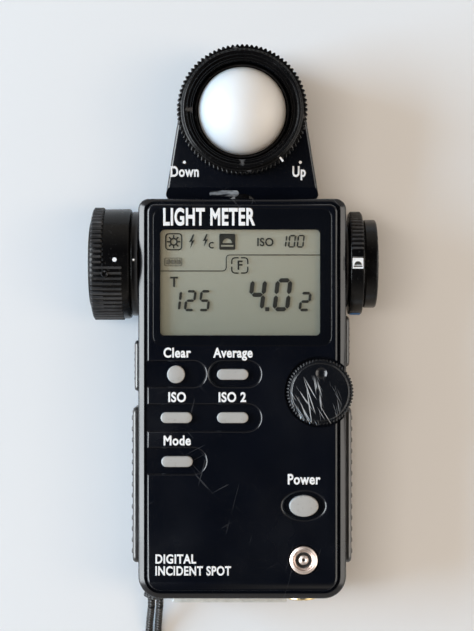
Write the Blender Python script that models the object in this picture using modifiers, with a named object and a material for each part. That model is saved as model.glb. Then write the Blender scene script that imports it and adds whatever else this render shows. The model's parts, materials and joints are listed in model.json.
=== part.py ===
"""Hand-held exposure meter: key panel, swivelling dome head and zoom spot finder.

The meter lies on its back. +Z is up, out of the display. +Y runs to the head, +X to the
eyepiece. The origin is the middle of the back face. Lengths below are in millimetres, and
y is measured from the bottom end of the case until place() moves it to the origin.
"""
import math

import bmesh
import bpy
from mathutils import Matrix, Vector

MM = 0.001
WELD = 1e-6
ORIGIN_Y = 58.0
GAP = 0.3

# Case
CASE_HALF_WIDTH = 29.9
CASE_BOTTOM = 1.2
CASE_TOP = 116.3
CASE_CORNERS = (6.5, 6.5, 3.0, 3.0)
WALL = 2.0
PARTING_Z = 20.0
RIM_Z = 32.6
PANEL_Z = 33.6
CAVITY_Z = 30.6
PANEL_SIDES = 2.5
PANEL_TOP = 1.6
PANEL_CORNERS = (4.0, 4.0, 2.4, 2.4)
GROOVE_WIDTH = 0.8
RECESS_Z = 32.4

# Window and display
WINDOW = (-25.6, 25.6, 74.0, 113.4)
OPENING = (-24.3, 23.1, 76.2, 108.1)
WINDOW_SEAT_Z = 32.0

# Keys: centre and outline size
ROUND_KEY_RADIUS = 2.55
PILL_LENGTH = 9.0
PILL_WIDTH = 3.1
PILLS = {
    "average_key": (-2.75, 65.8),
    "iso_key": (-18.9, 53.4),
    "iso2_key": (-2.75, 53.4),
    "mode_key": (-18.7, 40.8),
}
CLEAR_KEY = (-19.0, 65.8)
POWER_KEY = (17.65, 28.1)
POWER_RADII = (4.2, 3.05)
POWER_RECESS_RADII = (6.9, 4.45)
KEY_TOP_Z = 33.9
FLANGE_Z = (29.2, 30.2)
STEM_Z = 26.2
KEYPAD_TOP_Z = 25.1
BOARD_Z = (22.0, 23.2)

# Jog wheel and terminal
JOG = (22.3, 60.8)
JOG_RADIUS = 9.6
JOG_FLOOR_Z = 31.8
JOG_TOP_Z = 35.4
JOG_TEETH = 48
SYNC = (17.6, 12.5)
SYNC_RADIUS = 4.0

# Buttons and pads on the sides
MEASURING_Y = (60.1, 75.3)
MEMORY_Y = (67.4, 82.6)
SIDE_BUTTON_Z = 10.0
SIDE_BUTTON_HEIGHT = 9.0
GRIP_Y = (9.6, 55.6)

# Finder, on an axis along X
FINDER_Y = 98.0
AXIS_Z = 17.5
ZOOM_RADIUS = 16.6
ZOOM_RIBS = 64
SELECTOR_RADIUS = 15.4
SELECTOR_RIBS = 60

# Head, turning about an axis along Y at AXIS_Z
HEAD_Y = 142.0
HEAD_BASE_Y = 116.7
HEAD_BASE_HALF = 22.2
HEAD_RADIUS = 18.1
HEAD_BACK_Z = 4.0
HEAD_FRONT_Z = 27.0
RING_RADIUS = 18.9
RING_TEETH = 84
DOME_RADIUS = 12.75
DOME_BASE_Z = 27.0
NECK_RADIUS = 8.0

# Battery
CELL = (-3.7, 9.9, 7.1)
CELL_Y = (8.2, 58.4)
COVER_X = (-20.4, 13.0)
COVER_Y = (-1.2, 60.0)

# Strap
PIN = (-27.2, 4.3)
CORD_RADIUS = 1.1
STRAP_Z = 8.0

BUSH = (17.7, 14.0)
SCREWS = ((-24.3, 16.0), (24.6, 19.5), (-24.9, 112.1), (24.9, 112.1))

ALONG_X = Matrix.Rotation(math.pi / 2, 4, "Y")
ALONG_MINUS_X = Matrix.Rotation(-math.pi / 2, 4, "Y")
ALONG_Y = Matrix.Rotation(-math.pi / 2, 4, "X")
UPRIGHT = Matrix.Identity(4)

FINISHES = {
    "case_black": ((0.012, 0.016, 0.024), 0.0, 0.38),
    "rubber_black": ((0.02, 0.02, 0.021), 0.0, 0.75),
    "ring_black": ((0.014, 0.014, 0.015), 0.0, 0.5),
    "window": ((0.10, 0.11, 0.12), 0.0, 0.05),
    "lcd": ((0.37, 0.37, 0.30), 0.0, 0.2),
    "backlight": ((0.75, 0.76, 0.72), 0.0, 0.4),
    "key_grey": ((0.40, 0.40, 0.39), 0.0, 0.5),
    "board_green": ((0.03, 0.16, 0.07), 0.0, 0.45),
    "chip_black": ((0.02, 0.02, 0.02), 0.0, 0.5),
    "silicone": ((0.30, 0.31, 0.32), 0.0, 0.7),
    "nickel": ((0.72, 0.66, 0.60), 1.0, 0.25),
    "brass": ((0.75, 0.58, 0.30), 1.0, 0.3),
    "steel": ((0.58, 0.58, 0.60), 1.0, 0.35),
    "insulator": ((0.05, 0.05, 0.05), 0.0, 0.5),
    "dome_white": ((0.86, 0.86, 0.84), 0.0, 0.45),
    "lens_glass": ((0.60, 0.64, 0.70), 0.0, 0.02),
    "photodiode": ((0.05, 0.06, 0.12), 0.2, 0.2),
    "cell_jacket": ((0.10, 0.20, 0.42), 0.3, 0.35),
    "inner_black": ((0.03, 0.03, 0.03), 0.0, 0.6),
    "cord_black": ((0.015, 0.015, 0.016), 0.0, 0.85),
}


def clear_scene():
    for obj in list(bpy.data.objects):
        bpy.data.objects.remove(obj, do_unlink=True)


def new_collection(name):
    group = bpy.data.collections.new(name)
    bpy.context.scene.collection.children.link(group)
    return group


def new_material(name):
    colour, metallic, roughness = FINISHES[name]
    material = bpy.data.materials.new(name)
    material.use_nodes = True
    shader = material.node_tree.nodes["Principled BSDF"]
    shader.inputs["Base Color"].default_value = (*colour, 1.0)
    shader.inputs["Metallic"].default_value = metallic
    shader.inputs["Roughness"].default_value = roughness
    return material


def place(x, y, z):
    return Vector((x * MM, (y - ORIGIN_Y) * MM, z * MM))


def put(obj, at, turn, finish):
    """Gives the object its place, its collection and its own material; no finish makes a tool."""
    obj.matrix_world = Matrix.Translation(place(*at)) @ turn
    if finish is None:
        TOOLS.objects.link(obj)
        obj.hide_render = True
        obj.display_type = "WIRE"
        return obj
    METER.objects.link(obj)
    material = new_material(finish)
    material.name = obj.name + "_" + finish
    obj.data.materials.clear()
    obj.data.materials.append(material)
    obj.data.shade_smooth()
    obj.data.set_sharp_from_angle(angle=math.radians(35))
    return obj


# Outlines: lists of (x, y) in millimetres, anticlockwise


def arc(x, y, radius, start, end, steps):
    points = []
    for step in range(steps + 1):
        angle = math.radians(start + (end - start) * step / steps)
        points.append((x + radius * math.cos(angle), y + radius * math.sin(angle)))
    return points


def polar(radius, angle):
    return (radius * math.cos(math.radians(angle)), radius * math.sin(math.radians(angle)))


def circle(radius, x=0.0, y=0.0, steps=24):
    return arc(x, y, radius, 0, 360, steps)[:-1]


def ellipse(radii, x=0.0, y=0.0, steps=24):
    points = circle(1.0, steps=steps)
    return [(x + radii[0] * px, y + radii[1] * py) for px, py in points]


def rounded_box(left, right, low, high, corners, steps=3):
    """A box outline; corners are the radii at bottom left, bottom right, top right, top left."""
    if isinstance(corners, (int, float)):
        corners = (corners,) * 4
    bottom_left, bottom_right, top_right, top_left = corners
    points = arc(left + bottom_left, low + bottom_left, bottom_left, 180, 270, steps)
    points += arc(right - bottom_right, low + bottom_right, bottom_right, 270, 360, steps)
    points += arc(right - top_right, high - top_right, top_right, 0, 90, steps)
    points += arc(left + top_left, high - top_left, top_left, 90, 180, steps)
    return points


def pill(length, width, x=0.0, y=0.0, grow=0.0):
    half = width / 2 + grow
    reach = length / 2 + grow
    return rounded_box(x - reach, x + reach, y - half, y + half, half - 0.01, 3)


def case_outline(inset):
    return rounded_box(
        -CASE_HALF_WIDTH + inset,
        CASE_HALF_WIDTH - inset,
        CASE_BOTTOM + inset,
        CASE_TOP - inset,
        [max(radius - inset, 0.6) for radius in CASE_CORNERS],
    )


def panel_outline(grow):
    reach = CASE_HALF_WIDTH - PANEL_SIDES + grow
    low = CASE_BOTTOM + PANEL_SIDES - grow
    high = CASE_TOP - PANEL_TOP + grow
    return rounded_box(-reach, reach, low, high, [radius + grow for radius in PANEL_CORNERS])


def toothed(root, tip, teeth):
    """A fine knurl: one tip and one root point for each tooth."""
    points = []
    for tooth in range(teeth):
        start = 360 * tooth / teeth
        points.append(polar(tip, start))
        points.append(polar(root, start + 180 / teeth))
    return points


def head_outline(inset):
    """Straight flanks from the base up to where they touch the round top."""
    drop = HEAD_Y - HEAD_BASE_Y
    base = math.hypot(HEAD_BASE_HALF, drop)
    touch = math.acos(HEAD_RADIUS / base) - math.atan2(drop, HEAD_BASE_HALF)
    start = math.degrees(touch)
    points = arc(0, HEAD_Y, HEAD_RADIUS - inset, start, 180 - start, 20)
    corner = HEAD_BASE_HALF - inset
    return points + [(-corner, HEAD_BASE_Y + inset), (corner, HEAD_BASE_Y + inset)]


# Solids


def flat_solid(name, outlines, low, high, finish=None, at=(0, 0, 0), turn=UPRIGHT):
    """A flat outline, with any holes after it, drawn out from low to high."""
    curve = bpy.data.curves.new(name, "CURVE")
    curve.dimensions = "2D"
    curve.fill_mode = "BOTH"
    curve.extrude = (high - low) / 2 * MM
    for outline in outlines:
        spline = curve.splines.new("POLY")
        spline.points.add(len(outline) - 1)
        for point, (x, y) in zip(spline.points, outline):
            point.co = (x * MM, y * MM, 0, 1)
        spline.use_cyclic_u = True
    guide = bpy.data.objects.new(name + "_guide", curve)
    bpy.context.scene.collection.objects.link(guide)
    graph = bpy.context.evaluated_depsgraph_get()
    mesh = bpy.data.meshes.new_from_object(guide.evaluated_get(graph))
    bpy.data.objects.remove(guide, do_unlink=True)
    bpy.data.curves.remove(curve)
    shape = bmesh.new()
    shape.from_mesh(mesh)
    bmesh.ops.remove_doubles(shape, verts=shape.verts, dist=WELD)
    bmesh.ops.translate(shape, verts=shape.verts, vec=(0, 0, (low + high) / 2 * MM))
    bmesh.ops.dissolve_limit(
        shape, angle_limit=math.radians(0.5), verts=shape.verts, edges=shape.edges
    )
    bmesh.ops.recalc_face_normals(shape, faces=shape.faces)
    shape.to_mesh(mesh)
    shape.free()
    mesh.name = name
    return put(bpy.data.objects.new(name, mesh), at, turn, finish)


def turned(name, profile, finish=None, at=(0, 0, 0), turn=UPRIGHT, steps=24):
    """A turned solid. Its (radius, height) points run down the outer side from the top.

    A profile that starts and ends on the axis is solid; any other one closes to a ring.
    """
    mesh = bpy.data.meshes.new(name)
    points = [(radius * MM, 0, height * MM) for radius, height in profile]
    edges = [(index, index + 1) for index in range(len(points) - 1)]
    if profile[0][0] > 0:
        edges.append((len(points) - 1, 0))
    mesh.from_pydata(points, edges, [])
    obj = put(bpy.data.objects.new(name, mesh), at, turn, finish)
    screw = obj.modifiers.new("Turn", "SCREW")
    screw.steps = steps
    screw.render_steps = steps
    screw.use_merge_vertices = True
    screw.merge_threshold = WELD
    screw.use_normal_calculate = False
    return obj


def ring_profile(outer, inner, low, high, chamfer=0.3):
    return [
        (inner, high),
        (outer - chamfer, high),
        (outer, high - chamfer),
        (outer, low + chamfer),
        (outer - chamfer, low),
        (inner, low),
    ]


def disc_profile(radius, low, high, chamfer=0.2):
    return [
        (0, high),
        (radius - chamfer, high),
        (radius, high - chamfer),
        (radius, low),
        (0, low),
    ]


def lens_profile(radius, low, high, bulge):
    """A lens with a domed upper face, its rim from low to high."""
    points = []
    for step in range(6):
        share = step / 5
        points.append((radius * share, high + bulge * (1 - share**2)))
    return points + [(radius, low), (0, low)]


def just_made(name):
    """The object that an operator has just added, named and in no collection."""
    obj = bpy.context.object
    obj.name = name
    for group in list(obj.users_collection):
        group.objects.unlink(obj)
    return obj


def box(name, x, y, z, finish=None, bevel=0.0):
    """A block between pairs of x, y and z."""
    bpy.ops.mesh.primitive_cube_add(size=1.0)
    obj = just_made(name)
    obj.data.name = name
    size = Vector((x[1] - x[0], y[1] - y[0], z[1] - z[0])) * MM
    obj.data.transform(Matrix.Diagonal((*size, 1)))
    put(obj, (sum(x) / 2, sum(y) / 2, sum(z) / 2), UPRIGHT, finish)
    if bevel:
        add_bevel(obj, bevel, 2)
    return obj


def rod(name, radius, low, high, at, turn, steps=22):
    """A plain round tool along an axis, from low to high."""
    bpy.ops.mesh.primitive_cylinder_add(
        vertices=steps, radius=radius * MM, depth=(high - low) * MM
    )
    obj = just_made(name)
    obj.data.transform(Matrix.Translation((0, 0, (low + high) / 2 * MM)))
    return put(obj, at, turn, None)


def add_bevel(obj, width, segments):
    bevel = obj.modifiers.new("Bevel", "BEVEL")
    bevel.width = width * MM
    bevel.segments = segments
    bevel.limit_method = "ANGLE"
    bevel.angle_limit = math.radians(40)
    return bevel


def bevel_level(obj, height, width, segments=2):
    """Rounds only the rim edges that lie at one height of a flat solid."""
    mesh = obj.data
    shape = bmesh.new()
    shape.from_mesh(mesh)
    weight = shape.edges.layers.float.new("bevel_weight_edge")
    for edge in shape.edges:
        level = all(abs(vert.co.z - height * MM) < WELD for vert in edge.verts)
        if level and edge.calc_face_angle(0.0) > math.radians(40):
            edge[weight] = 1.0
    shape.to_mesh(mesh)
    shape.free()
    bevel = obj.modifiers.new("Bevel", "BEVEL")
    bevel.width = width * MM
    bevel.segments = segments
    bevel.limit_method = "WEIGHT"


def combine(obj, tool, operation="DIFFERENCE"):
    boolean = obj.modifiers.new(tool.name, "BOOLEAN")
    boolean.operation = operation
    boolean.solver = "EXACT"
    boolean.object = tool


def cut(obj, *tools):
    for tool in tools:
        combine(obj, tool)


def join(obj, *tools):
    for tool in tools:
        combine(obj, tool, "UNION")


# Tools that open both halves of the case


def shared_openings():
    finder = (0, FINDER_Y, AXIS_Z)
    return [
        rod("lens_hole_tool", 10.6, 25, 32, finder, ALONG_MINUS_X),
        rod("eyepiece_hole_tool", 10.2, 25, 32, finder, ALONG_X),
        rod("neck_hole_tool", NECK_RADIUS + 0.4, 113, 118, (0, 0, AXIS_Z), ALONG_Y),
    ]


def front_cover(openings):
    cover = flat_solid(
        "front_cover", [case_outline(0)], PARTING_Z + GAP, RIM_Z, "case_black"
    )
    bevel_level(cover, RIM_Z, 1.6)
    groove = panel_outline(GROOVE_WIDTH)
    cut(cover, flat_solid("groove_tool", [groove], RIM_Z - 0.8, PANEL_Z))
    panel = flat_solid("panel_tool", [panel_outline(0)], RIM_Z - 1.2, PANEL_Z)
    bevel_level(panel, PANEL_Z, 0.8, 2)
    join(cover, panel)
    cut(cover, flat_solid("front_cavity_tool", [case_outline(WALL)], 15, CAVITY_Z))
    for number, (x, y) in enumerate(SCREWS):
        boss = flat_solid(
            f"front_boss_tool_{number}", [circle(3.1, x, y, 12)], PARTING_Z + GAP, CAVITY_Z + 0.5
        )
        join(cover, boss)
        hole = flat_solid(f"front_thread_tool_{number}", [circle(1.3, x, y, 12)], 15, 28)
        cut(cover, hole)
    seat = rounded_box(*WINDOW, 2.8)
    cut(cover, flat_solid("window_seat_tool", [seat], WINDOW_SEAT_Z, PANEL_Z + 1))
    frame = rounded_box(*OPENING, 1.2, 3)
    cut(cover, flat_solid("window_opening_tool", [frame], 28, PANEL_Z + 1))
    rows = {
        "row_1": (-28.6, -10.4, 62.2, 69.6),
        "row_2": (-28.6, 5.3, 49.5, 57.2),
        "row_3": (-28.6, -10.4, 37.2, 44.7),
    }
    for name, (left, right, low, high) in rows.items():
        radius = (high - low) / 2 - 0.01
        outline = rounded_box(left, right, low, high, (0.2, radius, radius, 0.2))
        cut(cover, flat_solid(name + "_tool", [outline], RECESS_Z, PANEL_Z + 1))
    single = rounded_box(-9.5, 5.3, 62.2, 69.6, 3.69)
    cut(cover, flat_solid("average_recess_tool", [single], RECESS_Z, PANEL_Z + 1))
    for name, (x, y) in PILLS.items():
        hole = pill(PILL_LENGTH, PILL_WIDTH, x, y, GAP)
        cut(cover, flat_solid(name + "_hole_tool", [hole], 28, PANEL_Z + 1))
    hole = circle(ROUND_KEY_RADIUS + GAP, *CLEAR_KEY, 24)
    cut(cover, flat_solid("clear_hole_tool", [hole], 28, PANEL_Z + 1))
    recess = ellipse(POWER_RECESS_RADII, *POWER_KEY)
    cut(cover, flat_solid("power_recess_tool", [recess], RECESS_Z, PANEL_Z + 1))
    hole = ellipse([radius + GAP for radius in POWER_RADII], *POWER_KEY)
    cut(cover, flat_solid("power_hole_tool", [hole], 28, PANEL_Z + 1))
    hole = circle(SYNC_RADIUS + 0.15, *SYNC, 20)
    cut(cover, flat_solid("sync_hole_tool", [hole], 28, PANEL_Z + 1))
    well = circle(JOG_RADIUS + 0.6, *JOG)
    cut(cover, flat_solid("jog_well_tool", [well], JOG_FLOOR_Z, PANEL_Z + 1))
    hole = circle(2.4, *JOG, 20)
    cut(cover, flat_solid("jog_hole_tool", [hole], 28, PANEL_Z + 1))
    cut(cover, *openings)


def rear_cover(openings):
    cover = flat_solid("rear_cover", [case_outline(0)], 0, PARTING_Z, "case_black")
    bevel_level(cover, 0, 1.5)
    cut(cover, flat_solid("rear_cavity_tool", [case_outline(WALL)], WALL, 25))
    join(cover, box("strap_block_tool", (-29, -21), (2.4, 10), (1, 13)))
    for number, (x, y) in enumerate(SCREWS):
        boss = flat_solid(
            f"rear_boss_tool_{number}", [circle(3.2, x, y, 12)], 1, PARTING_Z - 0.01
        )
        join(cover, boss)
        well = flat_solid(f"screw_well_tool_{number}", [circle(2.4, x, y, 12)], -1, 9)
        hole = flat_solid(f"screw_hole_tool_{number}", [circle(1.3, x, y, 12)], -1, 25)
        cut(cover, well, hole)
    cut(cover, box("strap_pocket_tool", (-32, -23.4), (0, 7.9), (5, 11)))
    cut(cover, rod("pin_hole_tool", 0.8 + GAP, 3.4, 12.4, (*PIN, 0), UPRIGHT, 16))
    door = (COVER_X[0] - GAP, COVER_X[1] + GAP)
    cut(cover, box("door_tool", door, (0, COVER_Y[1] + GAP), (-1, WALL + 0.2)))
    cut(cover, rod("bush_hole_tool", 4.4 + GAP, 0, 12, (BUSH[0], 0, BUSH[1]), ALONG_Y))
    buttons = (("measuring", MEASURING_Y, ALONG_MINUS_X), ("memory", MEMORY_Y, ALONG_X))
    for name, (low, high), turn in buttons:
        half = SIDE_BUTTON_HEIGHT / 2 + GAP
        outline = rounded_box(-half, half, low - GAP, high + GAP, 1.6)
        tool = flat_solid(
            name + "_hole_tool", [outline], 26, 32, at=(0, 0, SIDE_BUTTON_Z), turn=turn
        )
        cut(cover, tool)
    cut(cover, *openings)


def display():
    pane = rounded_box(
        WINDOW[0] + 0.15, WINDOW[1] - 0.15, WINDOW[2] + 0.15, WINDOW[3] - 0.15, 2.65
    )
    flat_solid("display_window", [pane], WINDOW_SEAT_Z + GAP, PANEL_Z, "window")
    box("lcd_glass", (-24.6, 23.4), (75.2, 108.6), (28.6, CAVITY_Z - GAP), "lcd")
    box("backlight_panel", (-23.6, 22.4), (79.5, 108.3), (27.2, 28.3), "backlight")
    box("lcd_connector", (-22.0, 20.8), (76.0, 78.4), (BOARD_Z[1] + GAP, 28.3), "silicone")


def electronics():
    outline = rounded_box(-27.2, 27.2, 24.5, 85.0, 1.5, 2)
    flat_solid("main_board", [outline], *BOARD_Z, "board_green")
    box("processor_chip", (-14, -1), (62, 75), (20.1, BOARD_Z[0] - GAP), "chip_black", 0.2)
    outline = rounded_box(-24.5, 9.0, 36.0, 70.5, 1.5, 2)
    top = KEYPAD_TOP_Z
    flat_solid("keypad_membrane", [outline], BOARD_Z[1] + GAP, top, "silicone")
    x, y = POWER_KEY
    box("power_switch", (x - 3, x + 3), (y - 3, y + 3), (BOARD_Z[1] + GAP, top), "chip_black")
    x, y = JOG
    encoder = box(
        "jog_encoder", (x - 5.4, x + 4.8), (y - 5.4, y + 5.4), (BOARD_Z[1] + GAP, 28.5), "chip_black"
    )
    cut(encoder, rod("encoder_hole_tool", 2.3, 25, 30, (x, y, 0), UPRIGHT, 20))


def key(name, outlines, at, top, finish="key_grey"):
    """A cap with a retaining flange below the panel and a stem down to its switch.

    outlines holds the cap's outline and the flange's one.
    """
    cap = flat_solid(name, [outlines[0]], FLANGE_Z[0], top, finish, at)
    bevel_level(cap, top, 0.35, 1)
    flange = flat_solid(name + "_flange_tool", [outlines[1]], *FLANGE_Z, at=at)
    stem = rod(name + "_stem_tool", 1.2, STEM_Z, FLANGE_Z[0] + 0.5, at, UPRIGHT, 12)
    join(cap, flange, stem)


def keys():
    for name, (x, y) in PILLS.items():
        cap = pill(PILL_LENGTH, PILL_WIDTH)
        key(name, (cap, pill(PILL_LENGTH, PILL_WIDTH, grow=1.0)), (x, y, 0), KEY_TOP_Z)
    cap = circle(ROUND_KEY_RADIUS, steps=24)
    key("clear_key", (cap, circle(ROUND_KEY_RADIUS + 1.0, steps=24)), (*CLEAR_KEY, 0), KEY_TOP_Z)
    flange = ellipse([radius + 1.0 for radius in POWER_RADII])
    key("power_key", (ellipse(POWER_RADII), flange), (*POWER_KEY, 0), KEY_TOP_Z + 0.3)


def side_button(name, y_range, side):
    """A button in the side wall; side is -1 on the left and 1 on the right."""
    middle = sum(y_range) / 2
    half = (y_range[1] - y_range[0]) / 2
    at = (0, middle, SIDE_BUTTON_Z)
    turn = ALONG_X if side > 0 else ALONG_MINUS_X
    depth = SIDE_BUTTON_HEIGHT / 2
    cap = rounded_box(-depth, depth, -half, half, 1.5)
    button = flat_solid(name, [cap], 26.4, 32.2, "rubber_black", at, turn)
    bevel_level(button, 32.2, 0.9, 2)
    flange = rounded_box(-depth - 0.9, depth + 0.9, -half - 0.9, half + 0.9, 1.5)
    join(button, flat_solid(name + "_flange_tool", [flange], 26.4, 27.6, at=at, turn=turn))


def grips():
    """Side pads on the rear half, slightly higher at their upper end."""
    for name, side in (("left_grip", -1), ("right_grip", 1)):
        turn = ALONG_X if side > 0 else ALONG_MINUS_X
        outline = rounded_box(-7.5, 7.5, *GRIP_Y, 2.0)
        start = CASE_HALF_WIDTH + GAP
        pad = flat_solid(name, [outline], start, 32.7, "rubber_black", (0, 0, 11.5), turn)
        bevel_level(pad, 32.7, 1.2, 2)


def jog_wheel():
    at = (*JOG, 0)
    outline = toothed(JOG_RADIUS - 0.45, JOG_RADIUS, JOG_TEETH)
    wheel = flat_solid("jog_wheel", [outline], JOG_FLOOR_Z + GAP, 34.7, "case_black", at)
    face = turned("jog_face_tool", disc_profile(8.5, 34.0, JOG_TOP_Z, 0.4), at=at)
    shaft = rod("jog_shaft_tool", 2.0, 25.6, JOG_FLOOR_Z + 1, at, UPRIGHT, 20)
    join(wheel, face, shaft)
    bpy.ops.mesh.primitive_uv_sphere_add(segments=12, ring_count=6, radius=2.4 * MM)
    dimple = just_made("jog_dimple_tool")
    put(dimple, (JOG[0], JOG[1] + 5.6, JOG_TOP_Z + 1.7), UPRIGHT, None)
    cut(wheel, dimple)


def sync_terminal():
    at = (*SYNC, 0)
    shell = [
        (2.6, 34.0), (3.4, 34.0), (3.6, 33.6), (SYNC_RADIUS, 33.6), (SYNC_RADIUS, 31.0),
        (3.6, 30.6), (3.6, 25.0), (2.6, 25.0),
    ]
    turned("sync_shell", shell, "nickel", at, steps=20)
    turned("sync_insulator", ring_profile(2.3, 1.75, 25.4, 33.2, 0.1), "insulator", at, steps=16)
    profile = [(0, 32.6), (1.45, 32.6), (1.45, 25.0), (0, 25.0)]
    contact = turned("sync_contact", profile, "nickel", at, steps=14)
    cut(contact, rod("contact_hole_tool", 0.5, 30.0, 34, at, UPRIGHT, 12))


def battery():
    plate = box("battery_cover", COVER_X, COVER_Y, (0, WALL - 0.1), "case_black")
    lip = box("cover_lip_tool", COVER_X, (COVER_Y[0], CASE_BOTTOM - GAP), (0.5, 24.0))
    add_bevel(lip, 0.5, 2)
    join(plate, lip)
    x, z, radius = CELL
    tray = box("battery_tray", (x - 8.9, x + 8.9), (3.6, 60.8), (WALL + 0.5, 18.6), "inner_black")
    room = rod("cell_room_tool", radius + GAP, 4.8, 59.6, (x, 0, z), ALONG_Y)
    mouth = box("cell_mouth_tool", (x - radius - GAP, x + radius + GAP), (4.8, 59.6), (1, z))
    cut(tray, room, mouth)
    cell = [
        (0, CELL_Y[1]), (2.6, CELL_Y[1]), (2.6, CELL_Y[1] - 1.2), (radius, CELL_Y[1] - 1.4),
        (radius, CELL_Y[0] + 0.2), (6.4, CELL_Y[0]), (0, CELL_Y[0]),
    ]
    turned("aa_battery", cell, "cell_jacket", (x, 0, z), ALONG_Y)
    box("battery_contact", (x - 4, x + 4), (CELL_Y[1] + GAP, 59.3), (z - 4, z + 4), "nickel")
    battery_spring(x, z)


def battery_spring(x, z):
    """A conical spring behind the cell: turns that widen towards the end wall."""
    turns = 2.5
    steps_per_turn = 10
    curve = bpy.data.curves.new("battery_spring", "CURVE")
    curve.dimensions = "3D"
    curve.bevel_depth = 0.35 * MM
    curve.bevel_resolution = 1
    curve.use_fill_caps = True
    spline = curve.splines.new("POLY")
    count = int(turns * steps_per_turn) + 1
    spline.points.add(count - 1)
    for step in range(count):
        share = step / (count - 1)
        radius = 5.0 - 2.4 * share
        angle = 2 * math.pi * turns * share
        height = 5.3 + 2.2 * share
        place_at = (radius * math.cos(angle) * MM, radius * math.sin(angle) * MM, height * MM, 1)
        spline.points[step].co = place_at
    put(bpy.data.objects.new("battery_spring", curve_mesh(curve)), (x, 0, z), ALONG_Y, "steel")


def curve_mesh(curve):
    """Turns a curve into a mesh whose end caps are welded on."""
    guide = bpy.data.objects.new("guide", curve)
    bpy.context.scene.collection.objects.link(guide)
    graph = bpy.context.evaluated_depsgraph_get()
    mesh = bpy.data.meshes.new_from_object(guide.evaluated_get(graph))
    bpy.data.objects.remove(guide, do_unlink=True)
    shape = bmesh.new()
    shape.from_mesh(mesh)
    bmesh.ops.remove_doubles(shape, verts=shape.verts, dist=WELD)
    bmesh.ops.recalc_face_normals(shape, faces=shape.faces)
    shape.to_mesh(mesh)
    shape.free()
    return mesh


def fasteners():
    for number, (x, y) in enumerate(SCREWS, start=1):
        profile = [(0, 26.5), (1.0, 26.0), (1.0, 8.7), (2.0, 8.7), (2.0, 7.4), (0, 7.4)]
        turned(f"case_screw_{number}", profile, "steel", (x, y, 0), steps=16)
    at = (BUSH[0], 0, BUSH[1])
    profile = [(0, 11.5), (4.4, 11.5), (4.4, -1.3), (4.1, -1.6), (0, -1.6)]
    bush = turned("tripod_bush", profile, "brass", at, ALONG_Y, 32)
    cut(bush, rod("bush_bore_tool", 2.65, -3, 9.5, at, ALONG_Y, 24))
    turned("strap_pin", disc_profile(0.8, 3.7, 12.1), "steel", (*PIN, 0), steps=14)


def head():
    profile = [
        (5.0, 126.4), (NECK_RADIUS, 126.4), (NECK_RADIUS, 113.9), (11.0, 113.9),
        (11.0, 111.3), (5.0, 111.3),
    ]
    turned("swivel_neck", profile, "ring_black", (0, 0, AXIS_Z), ALONG_Y)
    neck_room = rod("neck_room_tool", NECK_RADIUS + GAP, 115, 126.8, (0, 0, AXIS_Z), ALONG_Y)
    centre = (0, HEAD_Y, 0)
    rear = flat_solid("head_rear_shell", [head_outline(0)], HEAD_BACK_Z, AXIS_Z - 0.15, "case_black")
    bevel_level(rear, HEAD_BACK_Z, 1.5, 2)
    cut(rear, rod("head_cavity_tool", 14.6, HEAD_BACK_Z + 2, 30, centre, UPRIGHT, 28), neck_room)
    front = flat_solid(
        "head_front_shell", [head_outline(0)], AXIS_Z + 0.15, HEAD_FRONT_Z, "case_black"
    )
    bevel_level(front, HEAD_FRONT_Z, 0.8, 2)
    cut(front, rod("head_bore_tool", 14.3, 0, 30, centre, UPRIGHT, 28), neck_room)
    ring = flat_solid(
        "retract_ring",
        [toothed(RING_RADIUS - 0.55, RING_RADIUS, RING_TEETH), circle(15.2)],
        28.2, 31.9, "ring_black", centre
    )
    profile = [
        (14.3, 31.6), (15.0, 33.0), (16.9, 33.0), (17.3, 32.6), (17.3, 28.4), (HEAD_RADIUS - 0.1, 28.4),
        (HEAD_RADIUS - 0.1, HEAD_FRONT_Z + GAP), (14.3, HEAD_FRONT_Z + GAP),
    ]
    join(ring, turned("ring_core_tool", profile, at=centre))
    dome_parts(centre)


def dome_parts(centre):
    inner = DOME_RADIUS - 1.2
    dome = []
    for step in range(8):
        angle = math.radians(90 * (1 - step / 7))
        dome.append((DOME_RADIUS * math.cos(angle), DOME_BASE_Z + DOME_RADIUS * math.sin(angle)))
    dome[0] = (0, DOME_BASE_Z + DOME_RADIUS)
    for step in range(6):
        angle = math.radians(90 * step / 5)
        dome.append((inner * math.cos(angle), DOME_BASE_Z + inner * math.sin(angle)))
    dome[-1] = (0, DOME_BASE_Z + inner)
    turned("lumisphere", dome, "dome_white", centre)
    profile = [
        (13.05, 27.6), (13.9, 27.6), (13.9, 19.5), (10.9, 19.5), (10.9, 26.7), (13.05, 26.7),
    ]
    turned("lumisphere_barrel", profile, "ring_black", centre)
    turned("receptor_holder", disc_profile(10.4, 6.3, 9.8), "inner_black", centre, steps=28)
    turned("incident_photodiode", disc_profile(4.2, 10.1, 11.8), "photodiode", centre, steps=24)


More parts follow.
